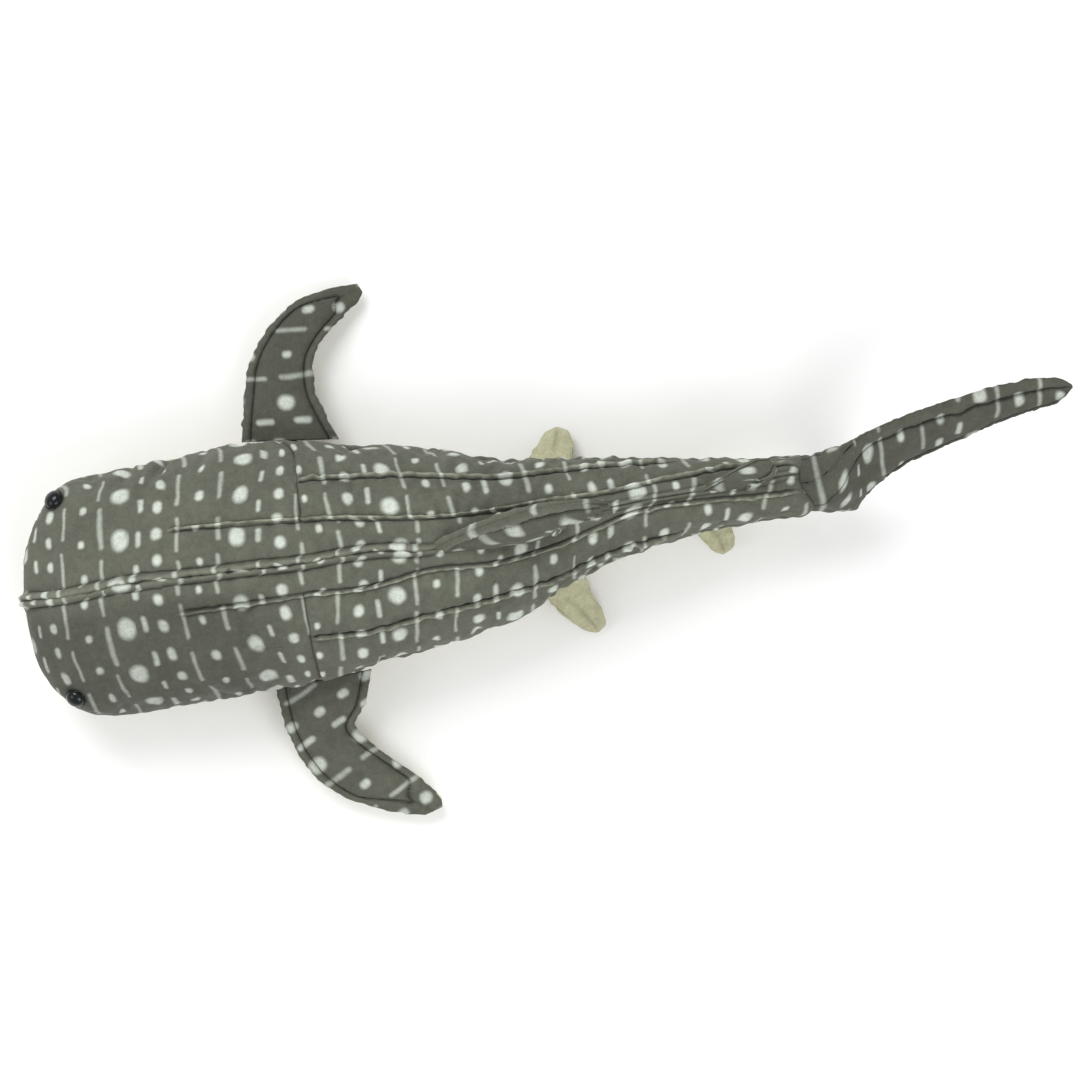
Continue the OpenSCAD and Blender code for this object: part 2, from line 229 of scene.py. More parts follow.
def makeStage():
    addLight("softboxKey", (-0.35, 1.0, 1.25), 0.9, light["key"])
    addLight("softboxFill", (0.55, -1.05, 1.2), 1.0, light["fill"])
    addLight("softboxNose", (-1.2, -0.2, 0.9), 0.8, light["nose"])
    world = bpy.data.worlds.new("studio")
    world.use_nodes = True
    world.node_tree.nodes["Background"].inputs["Color"].default_value = (1, 1, 1, 1)
    world.node_tree.nodes["Background"].inputs["Strength"].default_value = light["sky"]
    scene.world = world
    selectNone()
    bpy.ops.mesh.primitive_plane_add(size=8, location=(0.1, 0, -0.0003))
    floor = bpy.context.object
    floor.name = "floor"
    bpy.ops.object.transform_apply(location=True, rotation=True, scale=True)
    paint = bpy.data.materials.new("paleFloor")
    paint.use_nodes = True
    shader = paint.node_tree.nodes["Principled BSDF"]
    shader.inputs["Base Color"].default_value = (light["floor"],) * 3 + (1,)
    shader.inputs["Roughness"].default_value = 0.9
    shader.inputs["Specular IOR Level"].default_value = 0.1
    floor.data.materials.append(paint)


makeCamera()
makeStage()
print("camera and stage made")


def calc(tree, operation, *values):
    node = tree.nodes.new("ShaderNodeMath")
    node.operation = operation
    for n, value in enumerate(values):
        if isinstance(value, (int, float)):
            node.inputs[n].default_value = value
        else:
            tree.links.new(value, node.inputs[n])
    return node.outputs[0]


def newNode(tree, kind, links=(), **values):
    node = tree.nodes.new(kind)
    for key, value in values.items():
        if hasattr(node, key):
            setattr(node, key, value)
        else:
            node.inputs[key.replace("_", " ")].default_value = value
    for socket, source in dict(links).items():
        tree.links.new(source, node.inputs[socket])
    return node


def newGroup(name, inputs, outputs):
    group = bpy.data.node_groups.new(name, "ShaderNodeTree")
    for title, kind, start in inputs:
        socket = group.interface.new_socket(name=title, in_out="INPUT", socket_type=kind)
        if start is not None:
            socket.default_value = start
    for title, kind in outputs:
        group.interface.new_socket(name=title, in_out="OUTPUT", socket_type=kind)
    return group, group.nodes.new("NodeGroupInput"), group.nodes.new("NodeGroupOutput")


def mapRange(tree, value, fromLow, fromHigh, toLow, toHigh, kind="LINEAR"):
    node = tree.nodes.new("ShaderNodeMapRange")
    node.interpolation_type = kind
    tree.links.new(value, node.inputs["Value"])
    for key, number in (("From Min", fromLow), ("From Max", fromHigh), ("To Min", toLow), ("To Max", toHigh)):
        if isinstance(number, (int, float)):
            node.inputs[key].default_value = number
        else:
            tree.links.new(number, node.inputs[key])
    return node.outputs["Result"]


# the print on the back: columns of big spots, dashes, spots, bars, small spots and bars, in turn
printPlan = dict(
    pitch=10.45, start=-98.5, swapAfter=11.5, wander=3.0,
    # row pitch, half length and radius of the marks in each of the six columns
    columns=[(23.5, 0.6, 4.2), (17.5, 3.4, 1.35), (13.8, 0.9, 2.2), (27.0, 10.8, 1.1), (18.5, 0.7, 1.9),
        (24.0, 9.0, 1.05)],
)


def makePrintGroup():
    group, given, made = newGroup("softSpots",
        [("Along", "NodeSocketFloat", 0.0), ("Across", "NodeSocketFloat", 0.0)], [("Mask", "NodeSocketFloat")])
    plan = printPlan
    u, v = given.outputs["Along"], given.outputs["Across"]
    place = newNode(group, "ShaderNodeCombineXYZ", {"X": u, "Y": v}).outputs[0]
    wander = newNode(group, "ShaderNodeTexNoise", {"Vector": place}, Scale=0.028, Detail=2.0)
    parts = newNode(group, "ShaderNodeSeparateColor", {"Color": wander.outputs["Color"]})
    u, v = (calc(group, "ADD", way, calc(group, "MULTIPLY", calc(group, "SUBTRACT", part, 0.5), plan["wander"] * 2))
            for way, part in ((u, parts.outputs[0]), (v, parts.outputs[1])))
    place = calc(group, "DIVIDE", calc(group, "SUBTRACT", u, plan["start"]), plan["pitch"])
    column = calc(group, "ROUND", place)
    du = calc(group, "MULTIPLY", calc(group, "SUBTRACT", place, column), plan["pitch"])
    turn = calc(group, "FLOORED_MODULO", column, 6.0)
    # further back the big spots and the middling ones change places
    swap = calc(group, "GREATER_THAN", column, plan["swapAfter"])
    swap = calc(group, "MULTIPLY", swap, calc(group, "LESS_THAN", turn, 2.5))
    other = calc(group, "SUBTRACT", 2.0, calc(group, "MULTIPLY", turn, 2.0))
    turn = calc(group, "ADD", turn, calc(group, "MULTIPLY", swap, other))
    ramp = group.nodes.new("ShaderNodeValToRGB")
    ramp.color_ramp.interpolation = "CONSTANT"
    elements = ramp.color_ramp.elements
    while len(elements) < 6:
        elements.new(0.5)
    for n, (rowPitch, half, radius) in enumerate(plan["columns"]):
        elements[n].position = n / 6
        elements[n].color = (rowPitch / 30, half / 15, radius / 6, 1)
    group.links.new(calc(group, "DIVIDE", calc(group, "ADD", turn, 0.5), 6.0), ramp.inputs["Fac"])
    sizes = newNode(group, "ShaderNodeSeparateColor", {"Color": ramp.outputs["Color"]})
    rowPitch = calc(group, "MULTIPLY", sizes.outputs[0], 30.0)
    half = calc(group, "MULTIPLY", sizes.outputs[1], 15.0)
    radius = calc(group, "MULTIPLY", sizes.outputs[2], 6.0)
    phase = newNode(group, "ShaderNodeTexWhiteNoise", {"W": column}, noise_dimensions="1D").outputs["Value"]
    rowPlace = calc(group, "ADD", calc(group, "DIVIDE", v, rowPitch), calc(group, "MULTIPLY", phase, 0.7))
    row = calc(group, "FLOOR", rowPlace)
    dv = calc(group, "MULTIPLY", calc(group, "SUBTRACT", calc(group, "SUBTRACT", rowPlace, row), 0.5), rowPitch)
    cellPlace = newNode(group, "ShaderNodeCombineXYZ", {"X": column, "Y": row}).outputs[0]
    chance = newNode(group, "ShaderNodeTexWhiteNoise", {"Vector": cellPlace}, noise_dimensions="2D")
    pick = newNode(group, "ShaderNodeSeparateColor", {"Color": chance.outputs["Color"]})
    bright = mapRange(group, half, 2.0, 7.0, 1.0, 0.6)
    half = calc(group, "MULTIPLY", half, mapRange(group, pick.outputs[1], 0, 1, 0.6, 1.08))
    radius = calc(group, "MULTIPLY", radius, mapRange(group, pick.outputs[2], 0, 1, 0.75, 1.12))
    room = calc(group, "MINIMUM", 1.1, calc(group, "SUBTRACT", 4.6, radius))
    du = calc(group, "ADD", du, calc(group, "MULTIPLY", room, mapRange(group, pick.outputs[0], 0, 1, -1.0, 1.0)))
    over = calc(group, "MAXIMUM", calc(group, "SUBTRACT", calc(group, "ABSOLUTE", dv), half), 0.0)
    squares = calc(group, "ADD", calc(group, "MULTIPLY", du, du), calc(group, "MULTIPLY", over, over))
    reach = calc(group, "SQRT", squares)
    edge = calc(group, "SUBTRACT", reach, radius)
    # bigger spots have softer edges, and long marks are fainter
    soft = mapRange(group, radius, 1.0, 4.5, 0.95, 1.8)
    mask = mapRange(group, calc(group, "DIVIDE", edge, soft), -1.0, 1.0, 1.0, 0.0, "SMOOTHSTEP")
    group.links.new(calc(group, "MULTIPLY", mask, bright), made.inputs["Mask"])
    return group


def makePileGroup():
    # short brushed pile: fine nap with soft brushed patches
    group, given, made = newGroup("shortPile",
        [("Place", "NodeSocketVector", None), ("Grain", "NodeSocketFloat", 900.0), ("Patch", "NodeSocketFloat", 45.0)],
        [("Height", "NodeSocketFloat"), ("Tone", "NodeSocketFloat")])
    fine = newNode(group, "ShaderNodeTexNoise", {"Vector": given.outputs["Place"],
        "Scale": given.outputs["Grain"]}, Detail=3.0, Roughness=0.65)
    coarser = calc(group, "MULTIPLY", given.outputs["Grain"], 0.3)
    tuft = newNode(group, "ShaderNodeTexNoise", {"Vector": given.outputs["Place"], "Scale": coarser},
        Detail=2.0, Roughness=0.6, Distortion=0.4)
    patch = newNode(group, "ShaderNodeTexNoise", {"Vector": given.outputs["Place"],
        "Scale": given.outputs["Patch"]}, Detail=3.0, Roughness=0.6)
    height = calc(group, "ADD", calc(group, "MULTIPLY", fine.outputs["Fac"], 0.6),
        calc(group, "MULTIPLY", tuft.outputs["Fac"], 0.6))
    tone = calc(group, "ADD", calc(group, "MULTIPLY", calc(group, "SUBTRACT", fine.outputs["Fac"], 0.5), 0.55),
        calc(group, "ADD", calc(group, "MULTIPLY", calc(group, "SUBTRACT", tuft.outputs["Fac"], 0.5), 0.45),
             calc(group, "MULTIPLY", calc(group, "SUBTRACT", patch.outputs["Fac"], 0.5), 0.5)))
    group.links.new(height, made.inputs["Height"])
    group.links.new(calc(group, "ADD", tone, 1.0), made.inputs["Tone"])
    return group


printGroup, pileGroup = makePrintGroup(), makePileGroup()


def srgb(r, g, b, gain=1.0):
    return tuple(min(1.0, ((c / 255 + 0.055) / 1.055) ** 2.4 * gain) for c in (r, g, b)) + (1,)


greyPlush = dict(base=srgb(94, 96, 85), white=srgb(194, 200, 190), rough=0.92, bump=0.5, sheen=0.12)
creamFleece = dict(base=srgb(179, 178, 149), rough=0.95, bump=0.8, sheen=0.15)


def plushMaterial(name, printed, plan, shadeTint=1.0, grain=900.0):
    paint = bpy.data.materials.new(name)
    paint.use_nodes = True
    tree = paint.node_tree
    shader = tree.nodes["Principled BSDF"]
    coords = tree.nodes.new("ShaderNodeTexCoord").outputs["Object"]
    pile = newNode(tree, "ShaderNodeGroup", node_tree=pileGroup)
    tree.links.new(coords, pile.inputs["Place"])
    pile.inputs["Grain"].default_value = grain
    mix = newNode(tree, "ShaderNodeMix", data_type="RGBA")
    # painted shade: a tint below one darkens the whole material, and the print's white by half as much
    mix.inputs["A"].default_value = tuple(c * shadeTint for c in plan["base"][:3]) + (1,)
    if printed:
        ownMap = newNode(tree, "ShaderNodeUVMap", uv_map="fabric").outputs[0]
        parts = newNode(tree, "ShaderNodeSeparateXYZ", {"Vector": ownMap})
        spots = newNode(tree, "ShaderNodeGroup", node_tree=printGroup)
        tree.links.new(calc(tree, "MULTIPLY", parts.outputs[0], 1000.0), spots.inputs["Along"])
        tree.links.new(calc(tree, "MULTIPLY", parts.outputs[1], 1000.0), spots.inputs["Across"])
        mix.inputs["B"].default_value = tuple(c * (0.5 + 0.5 * shadeTint) for c in plan["white"][:3]) + (1,)
        # the ground shows through between the tufts of the printed pile
        cover = calc(tree, "MINIMUM", mapRange(tree, pile.outputs["Height"], 0.35, 0.6, 0.86, 1.0), 1.0)
        soft = calc(tree, "MULTIPLY", spots.outputs["Mask"], cover)
        tree.links.new(soft, mix.inputs["Factor"])
    else:
        mix.inputs["Factor"].default_value = 0.0
    toned = newNode(tree, "ShaderNodeMix", {"A": mix.outputs["Result"]}, data_type="RGBA", blend_type="MULTIPLY")
    toned.inputs["Factor"].default_value = 1.0
    # painted shade: a per-point attribute darkens the colour, down to a quarter, in creases, grooves, stitch lines and
    # shaded patches
    paintedShade = newNode(tree, "ShaderNodeAttribute", attribute_name="paintedShade")
    highlightAmount = newNode(tree, "ShaderNodeAttribute", attribute_name="paintedHighlight")
    shade = calc(tree, "MULTIPLY", pile.outputs["Tone"], mapRange(tree, paintedShade.outputs["Fac"], 0, 1, 1.0, 0.25))
    lighten = highlightAmount.outputs["Fac"]
    if printed:  # a painted highlight on raised folds shows on the ground colour, hardly on the print
        lighten = calc(tree, "MULTIPLY", lighten, calc(tree, "SUBTRACT", 1.0, calc(tree, "MULTIPLY", soft, 0.9)))
    # painted highlight: the colour is lightened up to 2.7 times on ridge tops, flanges and rolled fin borders
    shade = calc(tree, "MULTIPLY", shade, mapRange(tree, lighten, 0, 1, 1.0, 2.7))
    tree.links.new(newNode(tree, "ShaderNodeCombineColor", {"Red": shade, "Green": shade,
        "Blue": shade}).outputs[0], toned.inputs["B"])
    tree.links.new(toned.outputs["Result"], shader.inputs["Base Color"])
    bump = newNode(tree, "ShaderNodeBump", {"Height": pile.outputs["Height"]}, Strength=plan["bump"], Distance=0.0006)
    tree.links.new(bump.outputs[0], shader.inputs["Normal"])
    shader.inputs["Roughness"].default_value = plan["rough"]
    shader.inputs["Specular IOR Level"].default_value = 0.2
    shader.inputs["Sheen Weight"].default_value = plan["sheen"]
    shader.inputs["Sheen Roughness"].default_value = 0.45
    shader.inputs["Sheen Tint"].default_value = (0.95, 0.96, 0.92, 1)
    return paint


greyPaint = plushMaterial("greyPlushPrint", True, greyPlush)
# painted shade: the fins get a darker copy of the grey plush, for the shade on them
shadedFinPaint = plushMaterial("greyPlushFinsShaded", True, greyPlush, shadeTint=0.68)
creamPaint = plushMaterial("creamFleece", False, creamFleece, grain=600.0)
fibrePaint = plushMaterial("fibreFill", False, dict(base=(0.86, 0.86, 0.84, 1), rough=1.0, bump=1.0, sheen=0.2),
    grain=300.0)
print("materials made")

body = dict(
    noseX=-152.2, noseLength=43, browLength=110, chinLength=48, headSeam=-3.5, tailX=170, endX=266.6,
    roundness=2.3, noseRoundness=2.2, rowStep=1.15, fabric=1.2,
    widths=[[-110, 62.8], [-80, 64], [-30, 64.8], [0, 62.6], [30, 57], [70, 49.8], [100, 42],
            [130, 33.8], [160, 26.4], [200, 19.8], [235, 16], [270, 15]],
    middles=[[-155, -6.8], [-130, -4], [-60, -1.4], [-20, 0.6], [30, -1], [90, -2.7], [110, -2],
             [140, 2.5], [180, 5.5], [210, 5.5], [270, 3]],
    levels=[[-155, 34], [-110, 31], [-60, 30], [100, 31], [160, 35], [200, 38], [270, 41]],
    tops=[[-155, 77], [-40, 78], [30, 77], [80, 74], [120, 70], [160, 65], [200, 61.5], [270, 57]],
    bottoms=[[-155, -1.5], [90, -1.5], [120, 1.5], [160, 9], [200, 17], [270, 26]],
    sideAngles=[[-155, 96], [-60, 94], [0, 86], [60, 88], [270, 90]],
)
# seam lines on each half, as pairs of places along the body and across it
keelLine = [[-155, -0.5], [-148, -0.5], [-128, -1.2], [-107, 0.2], [-86, 0.8], [-71, 0.2], [-50, -0.3],
    [-29, -0.7], [-3, -1.4],
            [20.7, -0.5], [39, -0.8], [64, -3.6], [100, -2], [130, 1.5], [160, 5.2], [200, 7], [225, 7.2],
            [245, 7.8], [270, 9]]
firstTucks = {1: [[-155, 22], [-64.7, 23.8], [-44, 23], [-20.4, 21.6], [0.2, 19.9], [23.3, 17.8], [51.2, 13.6],
    [77, 11.1],
                  [103, 11.1], [124, 12], [155, 12.2], [176, 13.6], [197, 15.2], [218, 16.2], [239, 15.6], [270, 13]],
              -1: [[-155, -19], [-68, -17.3], [-37, -17], [-0.1, -16.5], [31, -17.2], [63, -12.8], [99, -13.8],
              [131, -8.8],
                   [152.5, -3], [174, 2.2], [205, 3], [236, 1.8], [270, 0.5]]}
secondTucks = {1: [[-155, 41], [1, 40.9], [28.5, 38.7], [54, 36.2], [79.6, 31.8], [105, 27.8], [126, 27],
    [157, 26.6], [188, 24.6], [270, 16]],
               -1: [[-155, -41], [-2, -39.3], [27.6, -39.9], [59.5, -36.2], [96.4, -32], [128, -25.6],
               [150, -18.8], [176.6, -14], [200, -11.5], [270, -9]]}


def halfWidth(x, d=0):
    t = np.clip((x - body["noseX"] - d) / (body["noseLength"] - d), 0, 1)
    share = (1 - (1 - t) ** body["noseRoundness"]) ** (1 / body["noseRoundness"])
    return (along(body["widths"], np.maximum(x, -110)) - d) * share


def rise(t):
    return np.sqrt(1 - (1 - np.clip(t, 0, 1)) ** 2)


def bodyPoint(x, angle, d=0):
    power = 2 / body["roundness"]
    side, up = np.abs(np.sin(angle)) ** power * np.sign(np.sin(angle)), np.abs(np.cos(angle)) ** power
    level = along(body["levels"], x)
    top = (along(body["tops"], x) - d - level) * rise((x - body["noseX"] - d) / body["browLength"])
    low = (level - along(body["bottoms"], x) - d) * rise((x - body["noseX"] - d) / body["chinLength"])
    z = level + np.where(np.cos(angle) > 0, top * up, -low * up)
    return np.stack([x + 0 * angle, along(body["middles"], x) + halfWidth(x, d) * side, np.maximum(z, max(d, 0.0))], -1)


def angleAcross(x, y):
    # angle round the body at which its back lies at a place across
    share = np.clip((y - along(body["middles"], x)) / np.maximum(halfWidth(x), 1), -0.985, 0.985)
    return np.sign(share) * np.arcsin(np.abs(share) ** (body["roundness"] / 2))


def bodyRows():
    a = np.radians(np.arange(2.5, 89.9, 1.5))
    nose = body["noseX"] + body["noseLength"] * (1 - np.cos(a))
    seam = body["headSeam"] + np.array([-3.2, -2.4, -1.6, -0.9, -0.4, 0, 0.4, 0.9, 1.6, 2.4, 3.2])
    before = np.linspace(nose[-1] + 0.8, seam[0] - 0.9, int((seam[0] - nose[-1]) / body["rowStep"]))
    after = np.linspace(seam[-1] + 0.9, body["endX"], int((body["endX"] - seam[-1]) / body["rowStep"]))
    return np.concatenate([[body["noseX"] + 0.004], nose, before, seam, after])


# columns of each band, as distances from its two seams, with evenly spaced ones between
bands = [
    dict(near=[0, 0.35, 0.8, 1.4, 2.0, 2.6, 3.2, 3.6, 3.95, 4.3, 4.8, 5.6], middle=5, far=[2.2, 1.4, 0.8, 0.35, 0]),
    dict(near=[0, 0.3, 0.7, 1.2, 1.7, 2.2, 2.7, 3.2, 3.9], middle=9, far=[2.2, 1.4, 0.8, 0.35, 0]),
    dict(near=[0, 0.3, 0.7, 1.2, 1.7, 2.2, 2.7, 3.2, 3.9], middle=17, far=[3.2, 2.6, 2.1, 1.7, 1.2, 0.7, 0.3, 0]),
    dict(near=[0, 0.3, 0.7, 1.2, 1.8, 2.6], middle=30, far=[2.0, 0]),
]


def bandPlaces(band, width):
    near, far = np.array(band["near"]), np.array(band["far"])
    need = (near[-1] + far[0]) * 1.35
    scale = np.minimum(1, width / need)[:, None]
    first, last = near * scale, width[:, None] - far * scale
    t = np.linspace(0, 1, band["middle"] + 2)[1:-1]
    return np.concatenate([first, first[:, -1:] + (last[:, :1] - first[:, -1:]) * t, last], 1)


def bodyHalf(x, side):
    # base points of one half, with each point's band and distances to the band's seams
    keel = side * angleAcross(x, along(keelLine, x))
    first = side * angleAcross(x, along(firstTucks[side], x))
    second = side * angleAcross(x, along(secondTucks[side], x))
    edge = np.radians(np.maximum(along(body["sideAngles"], x), 95))
    second = np.minimum(second, edge - 3.2 / np.maximum(halfWidth(x), 3))
    first = np.minimum(first, second - 3.2 / np.maximum(halfWidth(x), 3))
    keel = np.minimum(keel, first - 0.12)
    bounds = np.stack([keel, first, second, edge, np.full(len(x), math.pi)], 1)
    fine = np.linspace(-0.6, math.pi, 420)
    ring = bodyPoint(x[:, None], side * fine[None, :])
    length = np.concatenate([np.zeros((len(x), 1)), np.cumsum(np.linalg.norm(np.diff(ring, axis=1), axis=2), 1)], 1)
    at = np.array([np.interp(bounds[i], fine, length[i]) for i in range(len(x))])
    places, bandOf, start, total = [], [], [], []
    for n, band in enumerate(bands):
        width = at[:, n + 1] - at[:, n]
        q = bandPlaces(band, width)
        if n:
            q = q[:, 1:]
        places.append(at[:, n:n + 1] + q)
        start.append(q)
        total.append(np.repeat(width[:, None], q.shape[1], 1))
        bandOf += [n] * q.shape[1]
    places = np.concatenate(places, 1)
    angles = np.array([np.interp(places[i], length[i], fine) for i in range(len(x))])
    # the head seam slants on the right, and the hem at the tail fin is cut back over the keel
    slant = bump(x, body["headSeam"], 26)[:, None] * (side > 0) * (3.6 - 7 * smooth(1.0, 1.55, angles))
    slant = slant - smooth(228, body["endX"], x)[:, None] * (6.5 * np.exp(-((side * angles - 0.2) / 0.75) ** 2) + 0.5)
    return dict(points=bodyPoint(x[:, None] + slant, side * angles), band=np.array(bandOf),
        start=np.concatenate(start, 1),
                width=np.concatenate(total, 1), across=places - at[:, :1], angles=angles)


def bump(q, centre, width):
    return np.exp(-((q - centre) / width) ** 2)


# place along the body, slant, depth and width of the pinches at each side of the head
pinches = {1: [(-88, 1.2, 1.5, 2.6), (-70, 1.6, 1.9, 3.2), (-47, 0.8, 0.9, 2.4), (-30, 1.2, 1.0, 3.0)],
           -1: [(-62, 1.4, 1.4, 2.8), (-40, 1.0, 1.5, 3.2), (-24, 1.2, 0.9, 2.6)]}
ridge = dict(keelWidth=3.9, keelHeight=2.9, tuckWidth=2.2, tuckHeight=1.9, lean=0.8, sideHeight=0.9)


def foldHeight(q, width):
    # rounded fold standing on the cloth from 0 to width
    t = np.clip(q / width, 0, 1)
    return np.sin(math.pi * t) ** 0.75


def swellBody(halves, x):
    # one cloth simulation of the whole body as a tube, held along its seams; moves the points of both halves
    rows = thinned(x, cloth["rowGap"])
    middle = int(np.searchsorted(x, 40))
    picks = []
    for half in halves:
        starts = [int(np.argmax(half["band"] == n)) for n in range(1, 4)]
        ends = [0] + [s - 1 for s in starts] + [half["points"].shape[1] - 1]
        chosen = [0]
        for low, high in zip(ends[:-1], ends[1:]):
            chosen += [low + n for n in thinned(half["across"][middle, low:high + 1], cloth["gap"])[1:]]
        picks.append((chosen, ends))
    first, second = picks[0][0], picks[1][0]
    tube = np.concatenate([halves[0]["points"][rows][:, first],
                           halves[1]["points"][rows][:, second][:, ::-1][:, 1:-1]], 1)
    held = []
    for chosen, bounds in picks:
        h = np.zeros((len(rows), len(chosen)), bool)
        places = x[rows]
        h[:, chosen.index(0)] = True
        h[:, chosen.index(bounds[1])] = places > -66
        h[:, chosen.index(bounds[2])] = (places > body["headSeam"] - 1) & (places < 190)
        h[:, chosen.index(bounds[3])] = True
        seam = int(np.argmin(np.abs(places - body["headSeam"])))
        h[seam, chosen.index(bounds[1]):chosen.index(bounds[3])] = True
        h[:2] = h[-2:] = True
        held.append(h)
    held = np.concatenate([held[0], held[1][:, ::-1][:, 1:-1]], 1)
    move = inflate(tube, held)
    back = np.concatenate([move[:, :1], move[:, len(first) - 1:][:, ::-1]], 1)
    for half, chosen, part in ((halves[0], first, move[:, :len(first)]), (halves[1], second, back)):
        # narrow panels are stiffer, and the cloth slides along itself only a little
        stretch = spreadOut(part, rows, chosen, len(x), half["points"].shape[1])
        normal = gridNormals(half["flat"])
        outwards = normal * (stretch * normal).sum(-1, keepdims=True)
        share = np.minimum(1, half["width"] / cloth["narrow"]) ** 1.4
        share = share * smooth(body["noseX"] + 5, body["noseX"] + 24, x)[:, None]
        half["points"] = half["flat"] + (outwards + cloth["slide"] * (stretch - outwards)) * share[..., None]


def shapeHalf(half, x, side, puff):
    p = half["points"]
    place = np.repeat(x[:, None], p.shape[1], 1)
    band, start, width = half["band"][None, :] + 0 * place.astype(int), half["start"], half["width"]
    normal = gridNormals(p) * side
    normal = np.where((normal[..., 2:] < 0) & (half["angles"][..., None] < 1.2), -normal, normal)
    outward = unit(np.gradient(p, axis=1))
    pole = smooth(body["noseX"] + 0.2, body["noseX"] + 3, place)
    end = 1 - smooth(255, 266, place)
    # how far each seam's fold has come up at each place
    keelUp = pole * (1 - 0.55 * smooth(50, 75, place)) * (0.4 + 0.6 * end)
    firstUp = smooth(-70, -64, place) * end
    secondUp = smooth(body["headSeam"] - 0.2, body["headSeam"] + 3, place) * (1 - smooth(182, 202, place))
    sideUp = 0.25 * pole + 0.75 * smooth(-8, 2, place) * (0.3 + 0.7 * end)
    headSeam = bump(place, body["headSeam"], 0.9) * (band >= 1) * (band <= 2)
    far = width - start
    height, sideways, paintedShade, paintedHighlight = (np.zeros_like(place) for n in range(4))
    # keel: two rolled flanges with a seam between them and a crease at each foot; painted shade darkens the seam and
    # the creases, and a painted highlight lightens the flanges, less on the left
    k = band == 0
    keelWidth = ridge["keelWidth"] * (1 - 0.35 * smooth(50, 75, place)) * np.where((side < 0) & (place > -75), 0.8, 1.0)
    waver = 1 + 0.14 * ripples(p, 9, 11)
    height += k * keelUp * (ridge["keelHeight"] * waver * foldHeight(start + 0.25, keelWidth + 0.25)
                            - 0.8 * bump(start, keelWidth + 0.35, 0.55))
    paintedShade += k * pole * (0.85 * bump(start, 0, 0.3) + keelUp * 0.7 * bump(start, keelWidth + 0.3, 0.4))
    keelHighlight = (0.3 if side > 0 else 0.22) * (1 - 0.35 * (side < 0) * smooth(-90, -60, place))
    paintedHighlight += k * keelUp * keelHighlight * bump(start, keelWidth * 0.55, keelWidth * 0.35)
    # tucks: a fold that leans away from the keel, with its stitch line on the keel's side; a painted highlight lightens
    # the fold's top, weaker on the left, and painted shade darkens the stitch line and the fold's outer foot
    for n, up, seed in ((1, firstUp, 21), (2, secondUp, 31)):
        waver = 1 + 0.18 * ripples(p, 7, seed)
        raised = (band == n) * up * foldHeight(start, ridge["tuckWidth"])
        height += ridge["tuckHeight"] * waver * raised
        sideways += ridge["lean"] * raised
        patchy = np.clip(0.8 + 0.5 * ripples(p, 5, seed + 3), 0.3, 1.3)
        paintedHighlight += (band == n) * up * (0.85 if side > 0 else 0.62) * bump(start, 1.15, 0.75) * patchy
        inner = (band == n - 1) * far + (band == n) * start
        nearby = ((band == n - 1) | (band == n)) * up
        height -= nearby * 0.75 * bump(inner, 0, 0.7)
        paintedShade += nearby * (0.8 * bump(inner, 0, 0.32))
        paintedShade += (band == n) * up * 0.4 * bump(start, ridge["tuckWidth"] + 0.2, 0.4)
    # side seam: a ruffled flange at the silhouette, with its stitch line above; painted shade darkens the stitch line
    # and the foot below the flange, and a faint painted highlight lightens the flange
    fromSide = np.where(band == 2, -far, np.where(band == 3, start, 99.0))
    ruffle = 1 + 0.35 * ripples(p, 7.5, 41, (1, 0.2, 0.2)) + 0.4 * ripples(p, 24, 42, (1, 0.2, 0.2))
    height += sideUp * ridge["sideHeight"] * ruffle * bump(fromSide, -0.9, 1.35)
    height -= sideUp * 0.9 * bump(fromSide, -2.6, 0.6)
    paintedShade += sideUp * (0.8 * bump(fromSide, -2.6, 0.4) + 0.5 * bump(fromSide, 2.4, 0.5))
    paintedHighlight += sideUp * 0.2 * bump(fromSide, -0.9, 1.0)
    # pinches where the head's stuffing has settled
    for at, turn, depth, wide in pinches[side]:
        apart = place - at - 9 * (half["angles"] - 1.3) * turn
        height -= depth * bump(apart, 0, wide) * smooth(0.75, 1.3, half["angles"]) * (band < 3)
    # panels swell between their seams, and pucker beside them
    swell = np.clip(start * far / np.maximum(width, 1) ** 2 * 4, 0, 1) ** 0.7
    fullest = np.array([1.1, 1.3, 1.6, 0.6])[band] * np.minimum(1, width / 16)
    height += puff * fullest * swell * pole * np.maximum(smooth(-72, 10, place), band == 3)
    nearSeam = np.minimum(start, far)
    stitched = np.maximum(firstUp * (band <= 1), secondUp * ((band == 1) | (band == 2))) + 0.7 * sideUp * (band >= 2)
    pucker = np.exp(-nearSeam / 5) * stitched
    height += 0.42 * pucker * ripples(p, 6.5, 51, (1, 0.35, 0.35))
    uneven = 0.55 * ripples(p, 38, 61) + 0.3 * ripples(p, 16, 62, (0.6, 1, 1)) + 0.12 * ripples(p, 6, 63)
    height += pole * uneven * (band < 3)
    height += pole * 0.4 * ripples(p, 18, 64) * (band == 3)
    height -= 1.0 * headSeam
    # painted shade in the head seam's groove
    paintedShade += 0.85 * bump(place, body["headSeam"], 0.45) * (band >= 1) * (band <= 2)
    height += 0.5 * bump(place, body["headSeam"], 7) * ripples(p, 7, 71, (0.3, 1, 0.3)) * ((band >= 1) & (band <= 2))
    height -= 2.4 * smooth(260.5, body["endX"], place) ** 2
    # painted shade darkens the body's end, where it tucks in under the tail fin
    paintedShade += 0.8 * smooth(265.2, body["endX"], place)
    q = p + normal * height[..., None] + outward * sideways[..., None]
    # the keel's end stands out as a small nub at the nose
    nub = np.exp(-(np.abs(p[..., 1] - along(keelLine, place)) / 3.4) ** 4)
    nub = nub * smooth(-136, -149, place) * smooth(30, 38, p[..., 2])
    q[..., 0] -= 2.4 * nub
    q[..., 2] = np.maximum(q[..., 2], 0)
